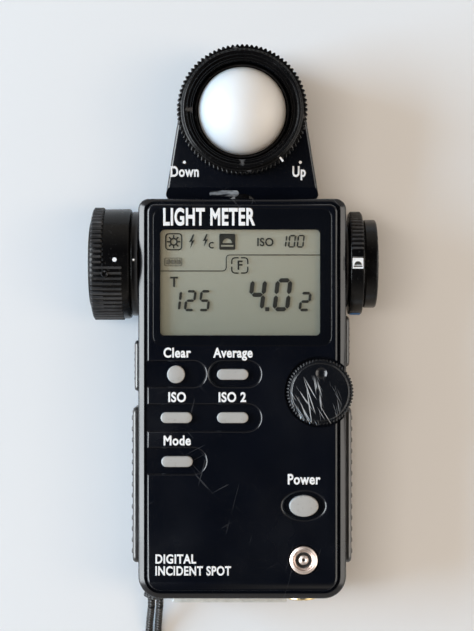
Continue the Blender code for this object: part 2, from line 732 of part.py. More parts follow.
def zoom_side():
    """The objective end of the finder, drawn outwards along -X."""
    at = (0, FINDER_Y, AXIS_Z)
    turned("lens_flange", ring_profile(15.4, 10.6, 30.2, 32.2, 0.4), "ring_black", at, ALONG_MINUS_X)
    ring = flat_solid(
        "zoom_ring",
        [toothed(ZOOM_RADIUS - 0.5, ZOOM_RADIUS, ZOOM_RIBS), circle(14.5)],
        40.2, 43.7, "ring_black", at, ALONG_MINUS_X
    )
    sleeve = [
        (13.0, 44.2), (15.0, 44.2), (15.8, 43.4), (15.8, 40.4), (16.3, 40.4), (16.3, 32.9),
        (16.0, 32.5), (13.0, 32.5),
    ]
    join(ring, turned("zoom_sleeve_tool", sleeve, at=at, turn=ALONG_MINUS_X))
    bezel = [
        (10.9, 42.4), (12.0, 44.6), (12.7, 44.6), (12.7, 32.5), (10.9, 32.5),
    ]
    turned("front_bezel", bezel, "ring_black", at, ALONG_MINUS_X)
    turned("objective_lens", lens_profile(10.6, 38.6, 40.6, 1.4), "lens_glass", at, ALONG_MINUS_X)
    turned("zoom_lens_carrier", ring_profile(7.2, 5.6, 16.0, 24.0, 0.2), "inner_black", at,
           ALONG_MINUS_X, 22)
    turned("zoom_lens", lens_profile(5.3, 18.5, 20.0, 0.8), "lens_glass", at, ALONG_MINUS_X, 22)


def eyepiece_side():
    """The eyepiece end of the finder, drawn outwards along +X."""
    at = (0, FINDER_Y, AXIS_Z)
    collar = [
        (8.0, 35.2), (9.6, 35.2), (9.6, 31.0), (12.9, 31.0), (12.9, 30.2), (8.0, 30.2),
    ]
    turned("eyepiece_collar", collar, "ring_black", at, ALONG_X)
    outline = toothed(SELECTOR_RADIUS - 0.4, SELECTOR_RADIUS, SELECTOR_RIBS)
    flat_solid("selector_ring", [outline, circle(10.0)], 31.3, 35.2, "ring_black", at, ALONG_X)
    cup = [
        (9.6, 39.4), (12.4, 39.4), (13.0, 38.8), (13.0, 35.5), (8.2, 35.5), (8.2, 36.4),
    ]
    turned("eyecup", cup, "rubber_black", at, ALONG_X)
    turned("eyepiece_lens", lens_profile(7.7, 31.4, 33.2, 0.7), "lens_glass", at, ALONG_X, 22)


def finder_inside():
    at = (0, FINDER_Y, AXIS_Z)
    tube = turned("finder_tube", ring_profile(9.0, 7.5, -27.4, 27.4, 0.3), "inner_black", at, ALONG_X, 32)
    cut(tube, box("tube_port_tool", (8, 16), (FINDER_Y - 3, FINDER_Y + 3), (4, 11)))
    box("beam_splitter", (8, 16), (FINDER_Y - 4, FINDER_Y + 4), (AXIS_Z - 4, AXIS_Z + 4), "lens_glass")
    box("spot_photodiode", (9.5, 14.5), (FINDER_Y - 2.5, FINDER_Y + 2.5), (6.0, 7.6), "photodiode")


STRAP_ROUTE = (
    (-27.4, -5.2, 6.6), (-27.9, -9, 4.0), (-28.4, -14, 1.9), (-28.9, -20, 1.15),
    (-30.0, -28, 1.15), (-34.5, -39, 1.15), (-41.0, -51, 1.15), (-43.0, -65, 1.15),
    (-36.0, -79, 1.15), (-21.0, -87, 1.15), (-3.0, -88, 1.15), (12.0, -80, 1.15),
    (18.5, -65, 1.15), (14.5, -50, 1.15), (3.0, -40, 1.15), (-10.0, -34, 1.15),
    (-20.0, -28, 1.15), (-25.0, -20.5, 1.15), (-25.6, -14, 1.9), (-25.3, -9, 4.0),
    (-24.9, -5.2, 6.6),
)


def smooth_route(points, spacing):
    """Points along a smooth curve through the given ones, at an even spacing."""
    given = [Vector(point) for point in points]
    padded = [2 * given[0] - given[1], *given, 2 * given[-1] - given[-2]]
    dense = []
    for a, b, c, d in zip(padded, padded[1:], padded[2:], padded[3:]):
        for step in range(20):
            t = step / 20
            bend = (-a + 3 * b - 3 * c + d) * t**3 + (2 * a - 5 * b + 4 * c - d) * t**2
            dense.append((bend + (c - a) * t + 2 * b) / 2)
    dense.append(given[-1])
    lengths = [0.0]
    for before, after in zip(dense, dense[1:]):
        lengths.append(lengths[-1] + (after - before).length)
    count = round(lengths[-1] / spacing)
    route = []
    index = 0
    for step in range(count + 1):
        target = lengths[-1] * step / count
        while index < len(lengths) - 2 and lengths[index + 1] < target:
            index += 1
        span = lengths[index + 1] - lengths[index]
        route.append(dense[index].lerp(dense[index + 1], (target - lengths[index]) / span))
    return route


def strap():
    route = smooth_route(STRAP_ROUTE, 5.0)
    curve = bpy.data.curves.new("strap_cord", "CURVE")
    curve.dimensions = "3D"
    curve.bevel_depth = CORD_RADIUS * MM
    curve.bevel_resolution = 2
    curve.use_fill_caps = True
    spline = curve.splines.new("POLY")
    spline.points.add(len(route) - 1)
    for point, spot in zip(spline.points, route):
        point.co = (*(place(*spot)), 1)
    cord = bpy.data.objects.new("strap_cord", curve_mesh(curve))
    put(cord, (0, ORIGIN_Y, 0), UPRIGHT, "cord_black")
    bpy.ops.mesh.primitive_torus_add(
        major_segments=20, minor_segments=8, major_radius=2.2 * MM, minor_radius=CORD_RADIUS * MM
    )
    hitch = just_made("strap_hitch")
    put(hitch, (*PIN, STRAP_Z), UPRIGHT, "cord_black")
    bpy.ops.mesh.primitive_uv_sphere_add(segments=12, ring_count=8, radius=2.3 * MM)
    knot = just_made("strap_knot_tool")
    knot.data.transform(Matrix.Diagonal((1.15, 1.5, 0.95, 1)))
    put(knot, (-26.1, -1.5, 7.2), UPRIGHT, None)
    join(hitch, knot)


clear_scene()
METER = new_collection("exposure_meter")
TOOLS = new_collection("tools")
SHARED = shared_openings()
front_cover(SHARED)
rear_cover(SHARED)
display()
electronics()
keys()
side_button("measuring_button", MEASURING_Y, -1)
side_button("memory_button", MEMORY_Y, 1)
grips()
jog_wheel()
sync_terminal()
battery()
fasteners()
head()
zoom_side()
eyepiece_side()
finder_inside()
strap()
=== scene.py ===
"""Finished look of the exposure meter, on the frame that the CAD model fixes.

Lengths are in millimetres unless a name says otherwise. y is measured from the bottom end
of the case, as in the CAD model, and row() moves it to the row frame.
"""
import json
import math

import bmesh
import bpy
from mathutils import Matrix, Vector


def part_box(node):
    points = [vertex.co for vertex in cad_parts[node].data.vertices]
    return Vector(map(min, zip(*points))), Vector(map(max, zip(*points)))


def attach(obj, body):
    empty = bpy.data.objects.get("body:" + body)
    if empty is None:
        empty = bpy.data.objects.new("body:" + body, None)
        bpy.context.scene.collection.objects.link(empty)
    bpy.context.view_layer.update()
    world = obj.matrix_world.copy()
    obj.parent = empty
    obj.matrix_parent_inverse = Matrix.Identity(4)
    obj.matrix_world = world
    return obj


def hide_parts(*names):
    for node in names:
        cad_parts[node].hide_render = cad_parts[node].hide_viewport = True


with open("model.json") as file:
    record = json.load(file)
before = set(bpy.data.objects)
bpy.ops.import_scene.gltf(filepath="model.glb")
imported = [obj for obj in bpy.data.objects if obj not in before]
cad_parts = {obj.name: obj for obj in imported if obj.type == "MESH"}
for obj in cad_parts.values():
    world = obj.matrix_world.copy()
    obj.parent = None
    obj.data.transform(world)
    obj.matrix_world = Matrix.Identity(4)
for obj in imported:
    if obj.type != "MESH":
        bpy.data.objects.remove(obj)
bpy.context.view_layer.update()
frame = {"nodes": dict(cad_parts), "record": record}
SLOTS = {entry["node"]: entry["material_slot"] for entry in frame["record"]["subparts"]}
BODIES = {
    node: body for body, nodes in frame["record"]["behaviour"]["bodies"].items() for node in nodes
}

MM = 0.001
ORIGIN_Y = 58.0
UPRIGHT = Matrix.Identity(4)
ALONG_X = Matrix.Rotation(math.pi / 2, 4, "Y")
ALONG_MINUS_X = Matrix.Rotation(-math.pi / 2, 4, "Y")
ALONG_Y = Matrix.Rotation(-math.pi / 2, 4, "X")

CASE_HALF_WIDTH = 29.9
CASE_BOTTOM = 1.2
CASE_TOP = 116.3
CASE_CORNERS = (6.5, 6.5, 3.0, 3.0)
PARTING_Z = 20.0
RIM_Z = 32.6
PANEL_Z = 33.6
PANEL_SIDES = 2.5
PANEL_TOP = 1.6
PANEL_CORNERS = (4.0, 4.0, 2.4, 2.4)
GROOVE_WIDTH = 0.8
RECESS_Z = 32.4
WINDOW = (-25.6, 25.6, 74.0, 113.4)
WINDOW_SEAT_Z = 32.0
LCD_AREA = (-23.5, 22.3, 77.0, 107.3)
KEY_RECESSES = (
    (-28.6, -10.4, 62.2, 69.6), (-28.6, 5.3, 49.5, 57.2), (-28.6, -10.4, 37.2, 44.7),
    (-9.5, 5.3, 62.2, 69.6),
)
HEAD_CENTRE = (0.0, 142.0, 0.0)
HEAD_FOOT_SLOPE = 34
DOME_RADIUS = 12.75
DOME_INNER_RADIUS = 11.6
ICON_SIZE = 1.55
CAMERA = (-1.5, 82.7)
CAMERA_REACH = 480.0
VIEW_HALF_HEIGHT = 90.4
TYPE_SIZE = 1.56
LETTER_RELIEF = 0.03
SCREWS = [f"case_screw_{number}" for number in range(1, 5)]


def row(x, y, z):
    """A point in metres in the row frame."""
    return Vector((x, y - ORIGIN_Y, z)) * MM


def extent(node):
    """(x range, y range, z range) of a CAD node in millimetres, y from the case's bottom end."""
    low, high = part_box(node)
    pairs = [(a / MM, b / MM) for a, b in zip(low, high)]
    pairs[1] = (pairs[1][0] + ORIGIN_Y, pairs[1][1] + ORIGIN_Y)
    return pairs


def middle(node):
    return [sum(pair) / 2 for pair in extent(node)]


FINDER = tuple(middle("finder_tube"))
JOG = tuple(middle("jog_wheel")[:2])
SYNC = tuple(middle("sync_shell")[:2])
POWER = tuple(middle("power_key")[:2])


# Outlines, anticlockwise. Each takes an inset, which is negative to grow.


def arc(x, y, radius, start, end, steps):
    points = []
    for step in range(steps + 1):
        angle = math.radians(start + (end - start) * step / steps)
        points.append((x + radius * math.cos(angle), y + radius * math.sin(angle)))
    return points


def rounded(left, right, low, high, corners, steps=10):
    """An outline function for a box with a radius at each corner, from bottom left."""
    if isinstance(corners, (int, float)):
        corners = (corners,) * 4

    def outline(inset=0.0):
        a, b, c, d = [max(radius - inset, 0.05) for radius in corners]
        x0, x1, y0, y1 = left + inset, right - inset, low + inset, high - inset
        points = arc(x0 + a, y0 + a, a, 180, 270, steps)
        points += arc(x1 - b, y0 + b, b, 270, 360, steps)
        points += arc(x1 - c, y1 - c, c, 0, 90, steps)
        return points + arc(x0 + d, y1 - d, d, 90, 180, steps)

    return outline


def pill(length, width, x=0.0, y=0.0):
    half = (length / 2, width / 2)
    return rounded(x - half[0], x + half[0], y - half[1], y + half[1], width / 2 - 0.001, 14)


def disc(radius, x=0.0, y=0.0, steps=72):
    return lambda inset=0.0: arc(x, y, radius - inset, 0, 360, steps)[:-1]


def oval(radii, x=0.0, y=0.0, steps=72):
    def outline(inset=0.0):
        points = arc(0, 0, 1, 0, 360, steps)[:-1]
        return [(x + (radii[0] - inset) * px, y + (radii[1] - inset) * py) for px, py in points]

    return outline


def knurled(radius, depth, teeth):
    """A knurled edge: a rounded tooth profile repeated round a circle."""
    steps = 8
    sharpness = 1.6

    def outline(inset=0.0):
        points = []
        for step in range(teeth * steps):
            wave = 0.5 + 0.5 * math.cos(2 * math.pi * step / steps)
            reach = radius - inset - depth * (1 - wave ** (1 / sharpness))
            angle = 2 * math.pi * step / (teeth * steps)
            points.append((reach * math.cos(angle), reach * math.sin(angle)))
        return points

    return outline


case_outline = rounded(
    -CASE_HALF_WIDTH, CASE_HALF_WIDTH, CASE_BOTTOM, CASE_TOP, CASE_CORNERS
)
panel_outline = rounded(
    -CASE_HALF_WIDTH + PANEL_SIDES, CASE_HALF_WIDTH - PANEL_SIDES,
    CASE_BOTTOM + PANEL_SIDES, CASE_TOP - PANEL_TOP, PANEL_CORNERS
)


def head_outline(inset=0.0):
    (left, right), (base, top), _ = extent("head_front_shell")
    crown = top - HEAD_CENTRE[1]
    radius = crown - inset
    half = (right - left) / 2
    drop = HEAD_CENTRE[1] - base
    touch = math.acos(crown / math.hypot(half, drop)) - math.atan2(drop, half)
    start = math.degrees(touch)
    points = arc(0, HEAD_CENTRE[1], radius, start, 180 - start, 48)
    corner = 1.2
    foot = half - inset
    points += arc(-foot + corner, base + inset + corner, corner, 185, 270, 5)
    return points + arc(foot - corner, base + inset + corner, corner, 270, 355, 5)


# Solids


def rounding(outline, low, high, low_radius=0.0, high_radius=0.0, steps=5):
    """Levels for loft(): the outline drawn from low to high, its edges rounded over."""
    levels = [(outline(0), low)]
    if low_radius:
        levels = []
        for step in range(steps + 1):
            angle = math.pi / 2 * step / steps
            inset = low_radius * (1 - math.sin(angle))
            levels.append((outline(inset), low + low_radius * (1 - math.cos(angle))))
    if not high_radius:
        return levels + [(outline(0), high)]
    for step in range(steps + 1):
        angle = math.pi / 2 * step / steps
        inset = high_radius * (1 - math.cos(angle))
        levels.append((outline(inset), high - high_radius * (1 - math.sin(angle))))
    return levels


def loft(levels, at=(0, 0, 0), turn=UPRIGHT, into=None):
    shape = into or bmesh.new()
    matrix = Matrix.Translation(row(*at)) @ turn
    rings = []
    for outline, height in levels:
        points = [matrix @ (Vector((x, y, height)) * MM) for x, y in outline]
        rings.append([shape.verts.new(point) for point in points])
    for lower, upper in zip(rings, rings[1:]):
        for index in range(len(lower)):
            after = (index + 1) % len(lower)
            shape.faces.new((lower[index], lower[after], upper[after], upper[index]))
    shape.faces.new(reversed(rings[0]))
    shape.faces.new(rings[-1])
    return shape


def prism(outline, low, high, at=(0, 0, 0), turn=UPRIGHT, into=None):
    return loft([(outline, low), (outline, high)], at, turn, into)


def lathe(profile, at=(0, 0, 0), turn=UPRIGHT, steps=96):
    """A turned shape; its (radius, height) points run down the outer side from the top."""
    shape = bmesh.new()
    matrix = Matrix.Translation(row(*at)) @ turn
    rings = []
    for radius, height in profile:
        count = steps if radius > 0 else 1
        ring = []
        for step in range(count):
            angle = 2 * math.pi * step / steps
            point = Vector((radius * math.cos(angle), radius * math.sin(angle), height))
            ring.append(shape.verts.new(matrix @ (point * MM)))
        rings.append(ring)
    pairs = list(zip(rings, rings[1:]))
    if profile[0][0] > 0:
        pairs.append((rings[-1], rings[0]))
    for upper, lower in pairs:
        for step in range(steps):
            after = (step + 1) % steps
            corners = [upper[step % len(upper)], lower[step % len(lower)]]
            corners += [lower[after % len(lower)], upper[after % len(upper)]]
            shape.faces.new(list(dict.fromkeys(corners)))
    return shape


def round_corner(points, x, y, radius, start, end, steps=4):
    """Adds an arc to a lathe profile."""
    points += arc(x, y, radius, start, end, steps)
    return points


def block(x, y, z, into=None, edge=0.0):
    outline = rounded(*x, *y, max(edge, 0.01), 3)
    return loft(rounding(outline, *z, edge, edge, 3), into=into)


def temporary(shape):
    mesh = bpy.data.meshes.new("temporary")
    shape.to_mesh(mesh)
    shape.free()
    obj = bpy.data.objects.new("temporary", mesh)
    bpy.context.scene.collection.objects.link(obj)
    return obj


def carve(shape, *tools):
    """The shape with every tool cut away."""
    target = temporary(shape)
    cutters = [temporary(tool) for tool in tools]
    for cutter in cutters:
        boolean = target.modifiers.new("Cut", "BOOLEAN")
        boolean.solver = "EXACT"
        boolean.object = cutter
    graph = bpy.context.evaluated_depsgraph_get()
    mesh = bpy.data.meshes.new_from_object(target.evaluated_get(graph))
    result = bmesh.new()
    result.from_mesh(mesh)
    for obj in [target, *cutters]:
        bpy.data.objects.remove(obj, do_unlink=True)
    return result


def piece(name, shape, node, material=None, slot=None, sharp=32):
    """Puts a finished mesh in place of a CAD node, on that node's body and in its slot."""
    slot = slot or SLOTS[node]
    mesh = bpy.data.meshes.new(name)
    shape.to_mesh(mesh)
    shape.free()
    mesh.shade_smooth()
    mesh.set_sharp_from_angle(angle=math.radians(sharp))
    mesh.materials.append(material or MATERIALS[slot])
    obj = bpy.data.objects.new(name, mesh)
    bpy.context.scene.collection.objects.link(obj)
    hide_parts(node)
    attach(obj, BODIES[node])
    return obj


# Materials


class Surface:
    """A Principled material and the few node patterns that the finishes share."""

    def __init__(self, name, colour, roughness, metallic=0.0, **values):
        self.material = bpy.data.materials.new(name)
        self.material.use_nodes = True
        self.tree = self.material.node_tree
        self.shader = self.tree.nodes["Principled BSDF"]
        self.shader.inputs["Base Color"].default_value = (*colour, 1)
        self.shader.inputs["Roughness"].default_value = roughness
        self.shader.inputs["Metallic"].default_value = metallic
        for socket, value in values.items():
            self.shader.inputs[socket.replace("_", " ")].default_value = value
        self.colour = None
        self.place = self.node("ShaderNodeTexCoord").outputs["Object"]

    def node(self, kind, **settings):
        made = self.tree.nodes.new(kind)
        for key, value in settings.items():
            setattr(made, key, value)
        return made

    def link(self, source, target):
        self.tree.links.new(source, target)

    def noise(self, scale, detail=4.0, stretch=(1, 1, 1), turn=(0, 0, 0), roughness=0.55):
        """Noise that is drawn out by stretch along axes turned by turn."""
        mapping = self.node("ShaderNodeMapping", vector_type="TEXTURE")
        mapping.inputs["Scale"].default_value = stretch
        mapping.inputs["Rotation"].default_value = turn
        self.link(self.place, mapping.inputs["Vector"])
        texture = self.node("ShaderNodeTexNoise")
        texture.inputs["Scale"].default_value = scale
        texture.inputs["Detail"].default_value = detail
        texture.inputs["Roughness"].default_value = roughness
        self.link(mapping.outputs[0], texture.inputs["Vector"])
        return texture.outputs["Fac"]

    def spread(self, source, low, high, to_low=0.0, to_high=1.0):
        """Maps the stretch from low to high onto the stretch from to_low to to_high."""
        spread = self.node("ShaderNodeMapRange")
        values = (low, high, to_low, to_high)
        for socket, value in zip(("From Min", "From Max", "To Min", "To Max"), values):
            spread.inputs[socket].default_value = value
        self.link(source, spread.inputs["Value"])
        return spread.outputs["Result"]

    def combine(self, operation, first, second):
        maths = self.node("ShaderNodeMath", operation=operation)
        for socket, value in zip(maths.inputs, (first, second)):
            if isinstance(value, (int, float)):
                socket.default_value = value
            else:
                self.link(value, socket)
        return maths.outputs[0]

    def tint(self, mask, colour):
        """Blends the base colour towards another where the mask is high."""
        mix = self.node("ShaderNodeMix", data_type="RGBA")
        self.link(mask, mix.inputs["Factor"])
        if self.colour is None:
            mix.inputs["A"].default_value = self.shader.inputs["Base Color"].default_value
        else:
            self.link(self.colour, mix.inputs["A"])
        mix.inputs["B"].default_value = (*colour, 1)
        self.colour = mix.outputs["Result"]
        self.link(self.colour, self.shader.inputs["Base Color"])

    def rough(self, source):
        self.link(source, self.shader.inputs["Roughness"])

    def bump(self, height, distance):
        bump = self.node("ShaderNodeBump")
        bump.inputs["Distance"].default_value = distance
        self.link(height, bump.inputs["Height"])
        self.link(bump.outputs["Normal"], self.shader.inputs["Normal"])

    def scratches(self, turns=(0.5, 1.3, 2.3), level=0.7, scale=1500, patches=(0.54, 0.66)):
        """Fine straight marks that run several ways, kept to a few patches."""
        marks = None
        for turn in turns:
            lines = self.noise(scale, 2, (30, 1, 30), (0, 0, turn), 0.4)
            lines = self.spread(lines, level, level + 0.03)
            marks = lines if marks is None else self.combine("MAXIMUM", marks, lines)
        return self.combine("MULTIPLY", marks, self.spread(self.noise(55, 2), *patches))

    def uneven(self, scale, detail, low, high):
        """Roughness that wanders from low to high."""
        self.rough(self.spread(self.noise(scale, detail), 0.3, 0.7, low, high))

    def mottle(self, scale, detail, low, high, amount, colour):
        """Patches of another colour, where the noise goes from low to high."""
        self.tint(self.spread(self.noise(scale, detail), low, high, 0, amount), colour)

    def grain(self, scale, detail, distance):
        self.bump(self.noise(scale, detail), distance)

    def near(self, centre, reach):
        """High round a point, falling to nothing at reach."""
        gap = self.node("ShaderNodeVectorMath", operation="DISTANCE")
        self.link(self.place, gap.inputs[0])
        gap.inputs[1].default_value = centre
        return self.spread(gap.outputs["Value"], reach, reach * 0.6)

    def edges(self, low, high):
        """High along convex edges."""
        pointiness = self.node("ShaderNodeNewGeometry").outputs["Pointiness"]
        return self.spread(pointiness, low, high)


def moulded(name, colour, roughness, grain=0.00001, worn=0.13):
    """Moulded black plastic: fine grain, handling shine, dust and a few scratches."""
    surface = Surface(name, colour, roughness)
    surface.uneven(35, 3, roughness - 0.07, roughness + 0.1)
    surface.mottle(90, 4, 0.35, 0.8, 0.35, [channel * 1.8 + 0.0008 for channel in colour])
    marks = surface.combine("MULTIPLY", surface.scratches(), worn)
    surface.tint(marks, (0.22, 0.23, 0.25))
    surface.grain(2600, 2, grain)
    return surface.material


def worn_wheel():
    """The jog wheel's face: black plastic with long pale scratches on its lower left."""
    surface = Surface("jog_black_worn", (0.003, 0.004, 0.0065), 0.24)
    surface.uneven(60, 3, 0.2, 0.34)
    place = row(JOG[0] - 2.2, JOG[1] - 3.6, extent("jog_wheel")[2][1])
    lines = surface.scratches((1.72, 1.9, 2.1), 0.62, 1900, (0.2, 0.3))
    lines = surface.combine("MULTIPLY", lines, surface.near(place, 0.0085))
    surface.tint(lines, (0.42, 0.44, 0.46))
    surface.tint(surface.combine("MULTIPLY", surface.scratches(), 0.2), (0.25, 0.26, 0.28))
    surface.grain(2600, 2, 0.000004)
    return surface.material


def scuffed():
    """Black plastic rubbed pale in streaks."""
    surface = Surface("case_black_scuffed", (0.0024, 0.0033, 0.006), 0.3)
    streaks = surface.spread(surface.noise(420, 4, (3, 1, 1)), 0.46, 0.62, 0, 0.95)
    surface.tint(streaks, (0.42, 0.46, 0.5))
    surface.uneven(300, 3, 0.25, 0.5)
    surface.bump(streaks, 0.00001)
    return surface.material


def rubbed(name, colour, roughness, shine=0.5):
    """Rings and rubber: matt black with paler crests, partly rubbed wear and partly a painted highlight,
    and some dust.
    """
    surface = Surface(name, colour, roughness, Specular_IOR_Level=shine)
    # Paler convex crests and rib ends: partly rubbed wear, partly a painted highlight like light caught
    # on the edges.
    wear_and_painted_highlight = surface.combine("MULTIPLY", surface.edges(0.56, 0.66), surface.noise(220, 3))
    surface.tint(surface.combine("MULTIPLY", wear_and_painted_highlight, 0.8), (0.2, 0.2, 0.205))
    surface.mottle(1500, 3, 0.62, 0.75, 0.06, (0.3, 0.3, 0.29))
    surface.uneven(120, 3, roughness - 0.08, roughness + 0.1)
    surface.grain(1800, 3, 0.00002)
    return surface.material


def key_plastic():
    surface = Surface("key_grey_plastic", (0.41, 0.405, 0.39), 0.42)
    surface.mottle(160, 3, 0.35, 0.75, 0.5, (0.34, 0.335, 0.325))
    surface.mottle(900, 2, 0.62, 0.72, 0.3, (0.2, 0.19, 0.18))
    surface.uneven(300, 3, 0.36, 0.52)
    surface.grain(2400, 2, 0.00001)
    return surface.material


def display_grey():
    """The display's reflector: olive grey with a fine painted sparkle, and painted shade that makes it
    darker and greener towards the bottom.
    """
    surface = Surface("display_grey", (0.42, 0.42, 0.355), 0.42)
    axis = surface.node("ShaderNodeSeparateXYZ")
    surface.link(surface.place, axis.inputs[0])
    low, high = (LCD_AREA[2] - ORIGIN_Y) * MM, (LCD_AREA[3] - ORIGIN_Y) * MM
    # Painted shade: darker and greener towards the bottom, where less light falls.
    surface.tint(surface.spread(axis.outputs["Y"], high, low, 0, 0.9), (0.27, 0.30, 0.265))
    # Painted sparkle: fine paler specks.
    surface.mottle(2500, 1, 0.4, 0.7, 0.1, (0.48, 0.48, 0.42))
    surface.uneven(700, 2, 0.36, 0.48)
    surface.grain(4000, 1, 0.000004)
    return surface.material


def clear_pane(name, tint, sheen):
    """A thin clear sheet: straight-through light, a sheen that grows at a slant, faint smears."""
    surface = Surface(name, (0.8, 0.8, 0.8), 0.05)
    tree = surface.tree
    clear = surface.node("ShaderNodeBsdfTransparent")
    clear.inputs["Color"].default_value = (*tint, 1)
    gloss = surface.node("ShaderNodeBsdfGlossy")
    gloss.inputs["Color"].default_value = (0.95, 0.97, 1, 1)
    surface.link(surface.spread(surface.noise(60, 4), 0.4, 0.7, 0.03, 0.12), gloss.inputs["Roughness"])
    slant = surface.node("ShaderNodeLayerWeight").outputs["Facing"]
    mix = surface.node("ShaderNodeMixShader")
    surface.link(surface.spread(surface.combine("POWER", slant, 4), 0, 1, sheen, 0.8), mix.inputs["Fac"])
    surface.link(clear.outputs[0], mix.inputs[1])
    surface.link(gloss.outputs[0], mix.inputs[2])
    surface.link(mix.outputs[0], tree.nodes["Material Output"].inputs["Surface"])
    return surface.material


def dome_white():
    surface = Surface("opal_white", (0.87, 0.87, 0.865), 0.42, Subsurface_Weight=0.35,
                      Subsurface_Scale=0.004)
    surface.shader.inputs["Subsurface Radius"].default_value = (1.0, 0.9, 0.8)
    surface.mottle(110, 3, 0.45, 0.75, 0.3, (0.82, 0.81, 0.785))
    surface.uneven(200, 3, 0.38, 0.52)
    surface.grain(1500, 3, 0.000012)
    return surface.material


def metal(name, colour, roughness):
    surface = Surface(name, colour, roughness, 1.0)
    dull = [channel * 0.55 for channel in colour]
    surface.mottle(320, 4, 0.45, 0.75, 0.6, dull)
    surface.uneven(240, 3, roughness - 0.08, roughness + 0.15)
    surface.grain(1500, 2, 0.000008)
    return surface.material


def paint(name, colour):
    surface = Surface(name, colour, 0.5)
    surface.mottle(1100, 3, 0.58, 0.72, 0.35, [channel * 0.45 for channel in colour])
    surface.uneven(500, 2, 0.45, 0.6)
    surface.grain(3000, 2, 0.000005)
    return surface.material


def display_ink(name, colour):
    surface = Surface(name, colour, 0.4)
    paler = [channel * 1.7 for channel in colour]
    surface.mottle(500, 2, 0.4, 0.7, 0.3, paler)
    surface.uneven(700, 2, 0.35, 0.5)
    return surface.material


def coated_glass():
    surface = Surface("coated_glass", (0.012, 0.015, 0.026), 0.04, Coat_Weight=1.0,
                      Coat_Roughness=0.03)
    surface.shader.inputs["Coat Tint"].default_value = (0.75, 0.85, 1, 1)
    surface.mottle(60, 2, 0.4, 0.7, 0.5, (0.03, 0.018, 0.05))
    surface.uneven(80, 3, 0.03, 0.08)
    return surface.material


def plain(name, colour, roughness, metallic=0.0, scale=400):
    """A quiet moulded or printed finish for pieces inside the case."""
    surface = Surface(name, colour, roughness, metallic)
    darker = [channel * 0.6 for channel in colour]
    surface.mottle(scale, 4, 0.4, 0.75, 0.6, darker)
    surface.uneven(scale, 3, roughness - 0.06, roughness + 0.1)
    surface.grain(scale * 4, 2, 0.00001)
    return surface.material


def braided_cord():
    """Black braid: strands that cross in both directions, with a paler glint on each crown."""
    surface = Surface("braided_cord", (0.006, 0.006, 0.007), 0.5, Sheen_Weight=0.1,
                      Sheen_Roughness=0.4)
    coordinates = surface.node("ShaderNodeTexCoord").outputs["UV"]
    axis = surface.node("ShaderNodeSeparateXYZ")
    surface.link(coordinates, axis.inputs[0])
    crowns = None
    for lean in (1, -1):
        around = surface.combine("MULTIPLY", axis.outputs["Y"], 3.0 * lean)
        phase = surface.combine("ADD", surface.combine("MULTIPLY", axis.outputs["X"], 3.0), around)
        wave = surface.combine("SINE", surface.combine("MULTIPLY", phase, 2 * math.pi), 0.0)
        crowns = wave if crowns is None else surface.combine("MULTIPLY", crowns, wave)
    surface.tint(surface.spread(crowns, 0.45, 0.95, 0, 0.75), (0.2, 0.205, 0.21))
    surface.rough(surface.spread(crowns, -1, 1, 0.75, 0.36))
    surface.bump(crowns, 0.00025)
    return surface.material


MATERIALS = {
    "case_black": moulded("case_black_plastic", (0.0015, 0.0024, 0.0053), 0.22, 0.000005),
    # rubbed() paints paler crests that are partly wear and partly painted highlight.
    "rubber_black": rubbed("rubber_black_grip", (0.007, 0.007, 0.0075), 0.33, 0.9),
    "ring_black": rubbed("ring_black_satin", (0.0025, 0.0025, 0.003), 0.22, 0.24),
    "window": clear_pane("window_clear", (0.98, 0.98, 0.97), 0.04),
    "lcd": display_grey(),
    "backlight": plain("backlight_white", (0.75, 0.76, 0.72), 0.4),
    "key_grey": key_plastic(),
    "board_green": plain("board_green_mask", (0.03, 0.16, 0.07), 0.4),
    "chip_black": plain("chip_black_epoxy", (0.02, 0.02, 0.02), 0.5),
    "silicone": plain("silicone_grey", (0.30, 0.31, 0.32), 0.65),
    "nickel": metal("nickel_turned", (0.88, 0.76, 0.70), 0.42),
    "brass": metal("brass_turned", (0.86, 0.66, 0.34), 0.34),
    "steel": metal("steel_plated", (0.56, 0.56, 0.58), 0.32),
    "insulator": plain("insulator_black", (0.02, 0.02, 0.02), 0.45),
    "dome_white": dome_white(),
    "lens_glass": coated_glass(),
    "photodiode": plain("photodiode_dark", (0.04, 0.05, 0.11), 0.2),
    "cell_jacket": plain("cell_jacket_blue", (0.06, 0.13, 0.36), 0.3, 0.4, 200),
    "inner_black": plain("inner_black_plastic", (0.02, 0.02, 0.021), 0.55),
    "cord_black": braided_cord(),
}
PAINT_WHITE = paint("label_white", (0.82, 0.83, 0.84))
PAINT_BLUE = paint("label_blue", (0.06, 0.2, 0.5))
INK = display_ink("display_ink", (0.02, 0.021, 0.019))
GLOSS_BLACK = moulded("window_black_gloss", (0.0025, 0.0033, 0.0055), 0.12, 0.000002, 0.15)
JOG_BLACK = worn_wheel()
SCUFF = scuffed()
# A pale grey painted on the battery door's lip: a painted reflection of the bright surroundings on its
# rounded edge.
LIP_PAINTED_REFLECTION = plain("battery_lip_painted_reflection", (0.62, 0.64, 0.62), 0.35, 0.0, 500)
INK_FAINT = display_ink("display_ink_faint", (0.13, 0.13, 0.11))


def finish_cad_nodes():
    """Every CAD node takes the material of its slot; rebuilt pieces hide theirs later."""
    for name, obj in frame["nodes"].items():
        for slot in obj.material_slots:
            slot.material = MATERIALS[SLOTS[name]]


# Camera, lights and floor


def set_camera():
    """Straight above the panel, as far off as a hand-held camera would be."""
    data = bpy.data.cameras.new("camera")
    data.angle = 2 * math.atan(VIEW_HALF_HEIGHT / CAMERA_REACH)
    data.clip_end = 20
    camera = bpy.data.objects.new("camera", data)
    camera.location = row(*CAMERA, PANEL_Z + CAMERA_REACH)
    bpy.context.scene.collection.objects.link(camera)
    bpy.context.scene.camera = camera


